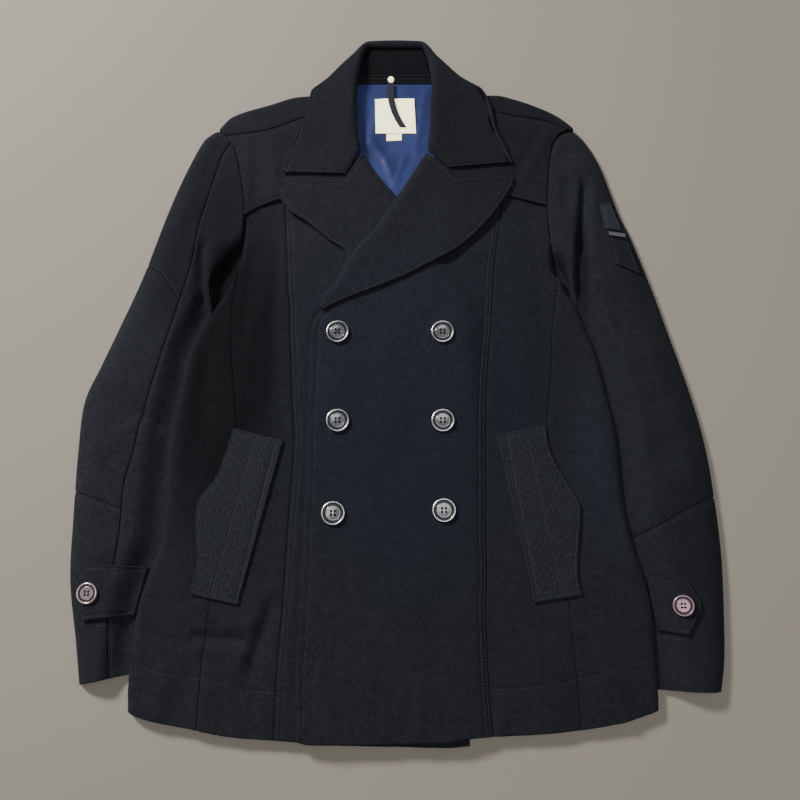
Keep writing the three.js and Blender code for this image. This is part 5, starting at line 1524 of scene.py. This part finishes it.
BADGE_CLOTH = woven_material("badge_twill", (0.0060, 0.0078, 0.0130), (0.0200, 0.0255, 0.0400), 1100)
RIGHT_TAB = {
    "upper": [(-258.5, -231), (-292, -230), (-319, -230), (-329.5, -248)],
    "lower": [(-268.5, -280), (-292, -282), (-317, -285), (-329.5, -271)],
}
LEFT_TAB = {
    "upper": [(258, -241), (278, -241), (294, -242), (308, -266)],
    "lower": [(265.5, -295), (281, -297), (293, -299), (308, -273)],
}
BADGE = {"upper": [(232, 176), (246, 180)], "lower": [(237, 145), (257, 145)]}
SLEEVE_POCKET = {"upper": [(241, 132), (263, 130)], "lower": [(245, 101), (274, 91)]}
TAB_REST = 1.0
BADGE_THICK, PATCH_THICK = 1.2, 1.8
TAB_ROW, PATCH_ROW = 3.5, 2.5


def on_arm(node, finish, shape, sleeve, rest, thick, gap, edges):
    plan = between(shape["lower"], shape["upper"])
    rows = [inner_row(plan, gap, edge, 0.04, 0.96) for edge in edges.split()]
    overlay(node, finish, plan, on_sleeve(sleeve), rest, thick, rows=rows)


on_arm("cuff_tab_right", WOOL_SLEEVE, RIGHT_TAB, right_sleeve, TAB_REST, TAB_CLOTH,
       TAB_ROW, "bottom top end")
on_arm("cuff_tab_left", WOOL_SLEEVE, LEFT_TAB, left_sleeve, TAB_REST, TAB_CLOTH,
       TAB_ROW, "bottom top end")
on_arm("sleeve_badge", BADGE_CLOTH, BADGE, left_sleeve, REST, BADGE_THICK,
       PATCH_ROW, "bottom top start end")
on_arm("sleeve_pocket", WOOL, SLEEVE_POCKET, left_sleeve, REST, PATCH_THICK,
       PATCH_ROW, "bottom start end")

# %% [markdown]
# The neck label and its size tab are cream woven cloth with no words on them. In the photograph they are the
# brightest thing, nearly white, so their finish has a painted glow: it gives off a little light of its own.
# A narrow navy tape makes the hanger loop, and a small cream bead sits at its root.

# %% Label, size tab and loop
CREAM = woven_material("cream_label", (0.88, 0.84, 0.58), (0.97, 0.94, 0.70),
                       painted_glow={"Emission Color": (1, 0.93, 0.46, 1), "Emission Strength": 1.7})
TAPE = woven_material("navy_tape", (0.004, 0.005, 0.010), (0.010, 0.013, 0.024), 1300)
LABEL = [(-26, 273), (22, 273), (20, 320), (-27, 319)]
SIZE_TAB = [(-13, 263), (5, 264), (5, 272.4), (-13, 272.4)]
LOOP_LINE = [(7, 280), (1, 290), (-4.5, 304), (-8, 322), (-8, 340)]
LABEL_CLOTH, SIZE_TAB_CLOTH, TAPE_THICK = 0.8, 0.6, 1.0
LABEL_LIFT, SIZE_TAB_LIFT = 0.5, 0.3
HALF_LOOP = 4.0
LOOP_LIFT, LOOP_BOW = 0.9, 1.1


def patch_plan(corners):
    a, b, c, d = corners
    return coons(bent([a, d]), bent([b, c]), bent([a, b]), bent([d, c]))


def level_at(z, seed=None, depth=0.0):
    return lambda xy: np.full(xy.shape[:-1], z) + (swell(xy[..., 0], xy[..., 1], seed, 25, depth) if seed else 0)


overlay("neck_label", CREAM, patch_plan(LABEL), level_at(LINING_TOP + LABEL_LIFT, 41, 0.25), REST,
        LABEL_CLOTH)
overlay("size_tab", CREAM, patch_plan(SIZE_TAB), level_at(LINING_TOP + SIZE_TAB_LIFT), REST,
        SIZE_TAB_CLOTH)
loop_line = curved(LOOP_LINE)


def loop_plan(u, v):
    point = loop_line(v)
    return np.stack([point[..., 0] + lerp(-HALF_LOOP, HALF_LOOP, np.asarray(u, float)), point[..., 1]], -1)


def loop_height(xy):
    """The tape bows up a little between its two ends."""
    bow = LOOP_BOW * np.sin(np.clip((xy[..., 1] - 280) / 55, 0, 1) * math.pi)
    return LINING_TOP + REST + LABEL_CLOTH + LOOP_LIFT + bow


overlay("hanger_loop", TAPE, loop_plan, loop_height, REST, TAPE_THICK)
# The bead takes the same cream finish, with its painted glow.
smooth_faces(repaint("loop_dot", CREAM))

# %% [markdown]
# The coat's sewing shows as rows of small stitches in a thread that is a little paler than the wool. Geometry
# Nodes sets one stitch at every step along a curve. A stitch is a stretched bead of thread, turned to follow
# its row. The pitch, length and width are the node tree's inputs.

# %% Thread and stitch
def thread_material(name, colour):
    def build(tree, where):
        ply = noise(tree, where["Object"], 2500, 1, 0.5)
        stops = [(place, [share * c for c in colour]) for place, share in ((0.3, 0.7), (0.7, 1.3))]
        return {"Base Color": ramp(tree, ply, stops), "Roughness": 0.6}

    return new_material(name, build)


def stitch_tree(thread):
    tree = bpy.data.node_groups.new("stitches", "GeometryNodeTree")
    sockets = [("Geometry", "Geometry", "INPUT"), ("Pitch", "Float", "INPUT"), ("Length", "Float", "INPUT"),
               ("Width", "Float", "INPUT"), ("Geometry", "Geometry", "OUTPUT")]
    for name, kind, way in sockets:
        tree.interface.new_socket(name, in_out=way, socket_type="NodeSocket" + kind)
    given = add(tree, "NodeGroupInput").outputs
    curve = add(tree, "GeometryNodeMeshToCurve", {"Mesh": given["Geometry"]}).outputs["Curve"]
    steps = add(tree, "GeometryNodeResampleCurve", {"Curve": curve, "Length": given["Pitch"]}, mode="LENGTH")
    bead = add(tree, "GeometryNodeMeshUVSphere", {"Segments": 6, "Rings": 4, "Radius": 0.5})
    size = add(tree, "ShaderNodeCombineXYZ", {"X": given["Width"], "Y": given["Width"], "Z": given["Length"]})
    course = add(tree, "GeometryNodeInputTangent").outputs["Tangent"]
    turn = add(tree, "FunctionNodeAlignRotationToVector", {"Vector": course}, axis="Z")
    place = add(tree, "GeometryNodeInstanceOnPoints", {
        "Points": steps.outputs["Curve"], "Instance": bead.outputs["Mesh"],
        "Rotation": turn.outputs["Rotation"], "Scale": size.outputs["Vector"]})
    real = add(tree, "GeometryNodeRealizeInstances", {"Geometry": place.outputs["Instances"]})
    paint = add(tree, "GeometryNodeSetMaterial", {"Geometry": real.outputs["Geometry"], "Material": thread})
    add(tree, "NodeGroupOutput", {"Geometry": paint.outputs["Geometry"]})
    return tree


THREAD = thread_material("navy_thread", (0.030, 0.033, 0.040))
HOLE_THREAD = thread_material("buttonhole_thread", (0.013, 0.014, 0.018))

# %% [markdown]
# Each row was laid along its trough when its piece was made. The hem rows and the buttonholes are added here.
# The rows of one part of the coat become one mesh, and what the nodes make of it is kept as a plain mesh.

# %% Sewing
def sew(name, lines, tree, pitch, length, width):
    points, edges = [], []
    for line in lines:
        start = len(points)
        points += [(*on_plan(x, y), z * MM) for x, y, z in line]
        edges += [(k, k + 1) for k in range(start, len(points) - 1)]
    mesh = bpy.data.meshes.new(name)
    mesh.from_pydata(points, edges, [])
    rows_object = into_scene(name + "_rows", mesh)
    modifier = rows_object.modifiers.new("stitches", "NODES")
    modifier.node_group = tree
    sizes = {"Pitch": pitch, "Length": length, "Width": width}
    for item in tree.interface.items_tree:
        if item.in_out == "INPUT" and item.name in sizes:
            modifier[item.identifier] = sizes[item.name] * MM
    graph = bpy.context.evaluated_depsgraph_get()
    sewn = bpy.data.meshes.new_from_object(rows_object.evaluated_get(graph), depsgraph=graph)
    bpy.data.objects.remove(rows_object)
    sewn.name = name
    smooth_faces(sewn)
    stands_for(into_scene(name, sewn), None)
    print(name, len(sewn.polygons), "faces")


def row_over(group, points, height):
    line = dense(points)
    STITCH_ROWS.append((group, np.column_stack([line, height(line) - 0.1])))


row_over("body", [(-263, -329), (-233, -338), (-189, -343), (-158, -352), (-113, -356)], on_body(under_cloth))
row_over("body", [(96, -352), (124, -351), (168, -346), (210, -336), (252, -324)], on_body(upper_cloth))
row_over("sleeves", [(266, -302), (292, -304)], on_sleeve(left_sleeve))
row_over("sleeves", [(-303.9, -290.6), (-280.6, -288.7)], on_sleeve(right_sleeve))
STITCH_SIZES = (3.3, 2.6, 0.6)  # pitch, length and width
HOLE_SIZES = (0.75, 1.0, 0.9)
HOLE_SIDES = (-0.9, 0.9)
thread_stitches = stitch_tree(THREAD)
for group in ("body", "sleeves", "collar", "pockets"):
    lines = [line for name, line in STITCH_ROWS if name == group]
    sew("stitches_" + group, lines, thread_stitches, *STITCH_SIZES)
BUTTONHOLES = [[(-84, 22), (-76, 22.5)], [(-82, -78), (-74, -77.5)], [(-55, -177), (-47, -176.5)]]
hole_rows = []
for ends in BUTTONHOLES:
    for shift in HOLE_SIDES:
        line = dense(ends) + [0, shift]
        hole_rows.append(np.column_stack([line, upper_cloth(line[:, 0], line[:, 1]) + 0.05]))
sew("buttonholes", hole_rows, stitch_tree(HOLE_THREAD), *HOLE_SIZES)

# %% [markdown]
# A four-hole button is turned from a profile: a bright rounded ring, a dark groove, and a dished centre. The
# cuff buttons are the same turning in a pinkish metal, and smaller.

# %% The turning of a button
def button_paints(name, ring, groove, centre, shine):
    return [plain_material(name + "_ring", ring, 0.26, shine), plain_material(name + "_groove", groove, 0.4, 0),
            plain_material(name + "_centre", centre, 0.2, 0.6 * shine), BUTTON_THREAD]


BUTTON_THREAD = plain_material("button_thread", (0.004, 0.004, 0.005), 0.8, 0)
FRONT_PAINTS = button_paints("button", (0.78, 0.79, 0.80), (0.006, 0.006, 0.008), (0.20, 0.20, 0.21), 1.0)
RIGHT_CUFF_PAINTS = button_paints("cuff_right", (0.72, 0.58, 0.58), (0.030, 0.009, 0.009), (0.36, 0.28, 0.29), 0.7)
LEFT_CUFF_PAINTS = button_paints("cuff_left", (0.42, 0.26, 0.31), (0.026, 0.009, 0.015), (0.30, 0.17, 0.21), 0.7)
TURNING = [
    (0, 0), (0.72, 0), (0.90, 0.08), (0.97, 0.2), (1, 0.42), (0.99, 0.66), (0.965, 0.84), (0.93, 0.95), (0.9, 0.99),
    (0.87, 0.97), (0.845, 0.88), (0.83, 0.72), (0.82, 0.5), (0.8, 0.42), (0.66, 0.42), (0.64, 0.5), (0.63, 0.66),
    (0.61, 0.76), (0.57, 0.8), (0.5, 0.76), (0.4, 0.69), (0.28, 0.64), (0.14, 0.62), (0, 0.61),
]
RING_FROM, CENTRE_TO = 0.815, 0.645
BUTTON_SIDES, DRILL_SIDES = 64, 20
RING, GROOVE, CENTRE, DARK = range(4)
SHARP_ANGLE = 50


def turned(radius, height):
    """Points, faces and paints of a lathe-turned button, its seat at z = 0."""
    turn = np.linspace(0, 2 * math.pi, BUTTON_SIDES, endpoint=False)
    points, rings = [], []
    for r, z in TURNING:
        count = 1 if r == 0 else BUTTON_SIDES
        rings.append(list(range(len(points), len(points) + count)))
        points += [(r * radius * math.cos(a), r * radius * math.sin(a), z * height) for a in turn[:count]]
    faces, kinds = [], []
    for (low, high), (first, last) in zip(zip(rings, rings[1:]), zip(TURNING, TURNING[1:])):
        at = (first[0] + last[0]) / 2
        kind = RING if at > RING_FROM or first[1] < 0.1 else (CENTRE if at < CENTRE_TO else GROOVE)
        for k in range(BUTTON_SIDES):
            j = (k + 1) % BUTTON_SIDES
            face = [low[k % len(low)], low[j % len(low)], high[j % len(high)], high[k % len(high)]]
            faces.append(list(dict.fromkeys(face)))
            kinds.append(kind)
    return points, faces, kinds


print("a button's profile has", len(TURNING), "points and", BUTTON_SIDES, "sides")

# %% [markdown]
# The holes are drilled through the turned body by round bars, and short bars of thread go from hole to hole.
# A thread bar is a slim bead with its ends in the holes.

# %% Drill and thread bars
THREAD_THICK, BEAD_SIDES, BEAD_STEPS = 0.42, 8, 8


def drill(spots, radius, height):
    """Round bars that are cut out of the button for its holes."""
    points, faces = [], []
    sides = DRILL_SIDES
    turn = np.arange(sides) * 2 * math.pi / sides
    for x, y in spots:
        start = len(points)
        for z in (-1, height):
            points += [(x + radius * math.cos(a), y + radius * math.sin(a), z) for a in turn]
        for k in range(sides):
            low, following = start + k, start + (k + 1) % sides
            faces.append([low, following, following + sides, low + sides])
        faces += [list(range(start + sides - 1, start - 1, -1)), list(range(start + sides, start + 2 * sides))]
    return points, faces, [DARK] * len(faces)


def made(name, parts, paints):
    mesh = bpy.data.meshes.new(name)
    mesh.from_pydata(parts[0], [], parts[1])
    for paint in paints:
        mesh.materials.append(paint)
    mesh.polygons.foreach_set("material_index", parts[2])
    return into_scene(name, mesh)


def thread_bar(start, end, lift):
    """A short bead of thread from hole to hole, as an ellipsoid."""
    a, b = np.array([*start, lift]), np.array([*end, lift])
    along = (b - a) / np.linalg.norm(b - a)
    side, up = np.cross([0, 0, 1], along), np.array([0, 0, 1])
    length, sides, steps = np.linalg.norm(b - a) / 2 + 0.5, BEAD_SIDES, BEAD_STEPS
    points = [tuple((a + b) / 2 - along * length)]
    for k in range(1, steps):
        bend = math.pi * k / steps
        for m in range(sides):
            turn = 2 * math.pi * m / sides
            reach = THREAD_THICK * math.sin(bend)
            points.append(tuple((a + b) / 2 - along * length * math.cos(bend)
                                + side * reach * math.cos(turn) + up * reach * math.sin(turn)))
    points.append(tuple((a + b) / 2 + along * length))
    faces = [[0, 1 + (m + 1) % sides, 1 + m] for m in range(sides)]
    for k in range(steps - 2):
        one, two = 1 + k * sides, 1 + (k + 1) * sides
        faces += [[one + m, one + (m + 1) % sides, two + (m + 1) % sides, two + m] for m in range(sides)]
    last = 1 + (steps - 2) * sides
    faces += [[last + m, last + (m + 1) % sides, len(points) - 1] for m in range(sides)]
    return points, faces, [DARK] * len(faces)


print("a thread bar has", len(thread_bar((0, 0), (1, 0), 0)[1]), "faces")

# %% [markdown]
# A button sits on the cloth below it and tilts with it. The upper row's right button is sewn with its threads
# crossed and the others with two level or two upright bars. The small bar on the left sleeve is plain steel.

# %% Buttons and sleeve bar
def facing(height, x, y, reach=2.0):
    """The point of a surface over (x, y), and the way it faces."""
    spots = np.array([[x, y], [x + reach, y], [x - reach, y], [x, y + reach], [x, y - reach]], float)
    z = height(spots)
    normal = np.array([(z[2] - z[1]) / (2 * reach), (z[4] - z[3]) / (2 * reach), 1])
    return np.array([x, y, z[0]]), normal / np.linalg.norm(normal)


def button(node, paints, sizes, place, seat, threads):
    """sizes are its radius and height, its holes' radius, and how far each hole is from the middle."""
    radius, height, hole, spread = sizes
    spots = [(a * spread, b * spread) for a in (-1, 1) for b in (-1, 1)]
    body = made(node + "_body", turned(radius, height), paints)
    cutter = made(node + "_drill", drill(spots, hole, height + 1), paints)
    cut = body.modifiers.new("holes", "BOOLEAN")
    cut.operation, cut.solver, cut.object = "DIFFERENCE", "EXACT", cutter
    graph = bpy.context.evaluated_depsgraph_get()
    bored = bpy.data.meshes.new_from_object(body.evaluated_get(graph), depsgraph=graph)
    points = [tuple(v.co) for v in bored.vertices]
    faces = [list(p.vertices) for p in bored.polygons]
    kinds = [p.material_index for p in bored.polygons]
    for start, end in threads:
        bar = thread_bar(spots[start], spots[end], 0.6 * height + 0.25)
        faces += [[k + len(points) for k in face] for face in bar[1]]
        points += bar[0]
        kinds += bar[2]
    for thing in (body, cutter):
        bpy.data.objects.remove(thing)
    at, normal = place
    turn = Vector((0, 0, 1)).rotation_difference(Vector(normal)).to_matrix()
    moved = (np.array(turn) @ np.array(points).T).T + (at + normal * (seat + REST)) + [*SHIFT, 0]
    piece = made("turned_" + node, ((moved * MM).tolist(), faces, kinds), paints)
    smooth_faces(piece.data)
    piece.data.set_sharp_from_angle(angle=math.radians(SHARP_ANGLE))
    stands_for(piece, node)
    print(piece.name, len(faces), "faces, turned to", [round(float(part), 2) for part in normal])


PAIRS, CROSSED, LEVEL = [(0, 1), (2, 3)], [(0, 3), (1, 2)], [(0, 2), (1, 3)]
FRONT_SIZES = (12.8, 3.08, 1.35, 2.03)
CUFF_SIZES = (10.8, 2.66, 1.15, 1.75)
FRONT_BUTTONS = table("name x y threads", [
    ("button_right_1", -66, 22, CROSSED), ("button_right_2", -64, -78, PAIRS), ("button_right_3", -67, -177, PAIRS),
    ("button_left_1", 50, 22, PAIRS), ("button_left_2", 49, -78, PAIRS), ("button_left_3", 49, -174, PAIRS),
])
for row in FRONT_BUTTONS:
    button(row["name"], FRONT_PAINTS, FRONT_SIZES, facing(on_body(upper_top), row["x"], row["y"]), 0,
           row["threads"])
ON_TAB = TAB_REST + TAB_CLOTH
button("cuff_button_right", RIGHT_CUFF_PAINTS, CUFF_SIZES,
       facing(on_sleeve(right_sleeve), -314, -258), ON_TAB, PAIRS)
button("cuff_button_left", LEFT_CUFF_PAINTS, CUFF_SIZES,
       facing(on_sleeve(left_sleeve), 290, -270), ON_TAB, LEVEL)
repaint("sleeve_bar", plain_material("steel", (0.72, 0.72, 0.74), 0.22, 1))

# %% [markdown]
# At the end the view layer is brought up to date.

# %% Update the view layer
bpy.context.view_layer.update()
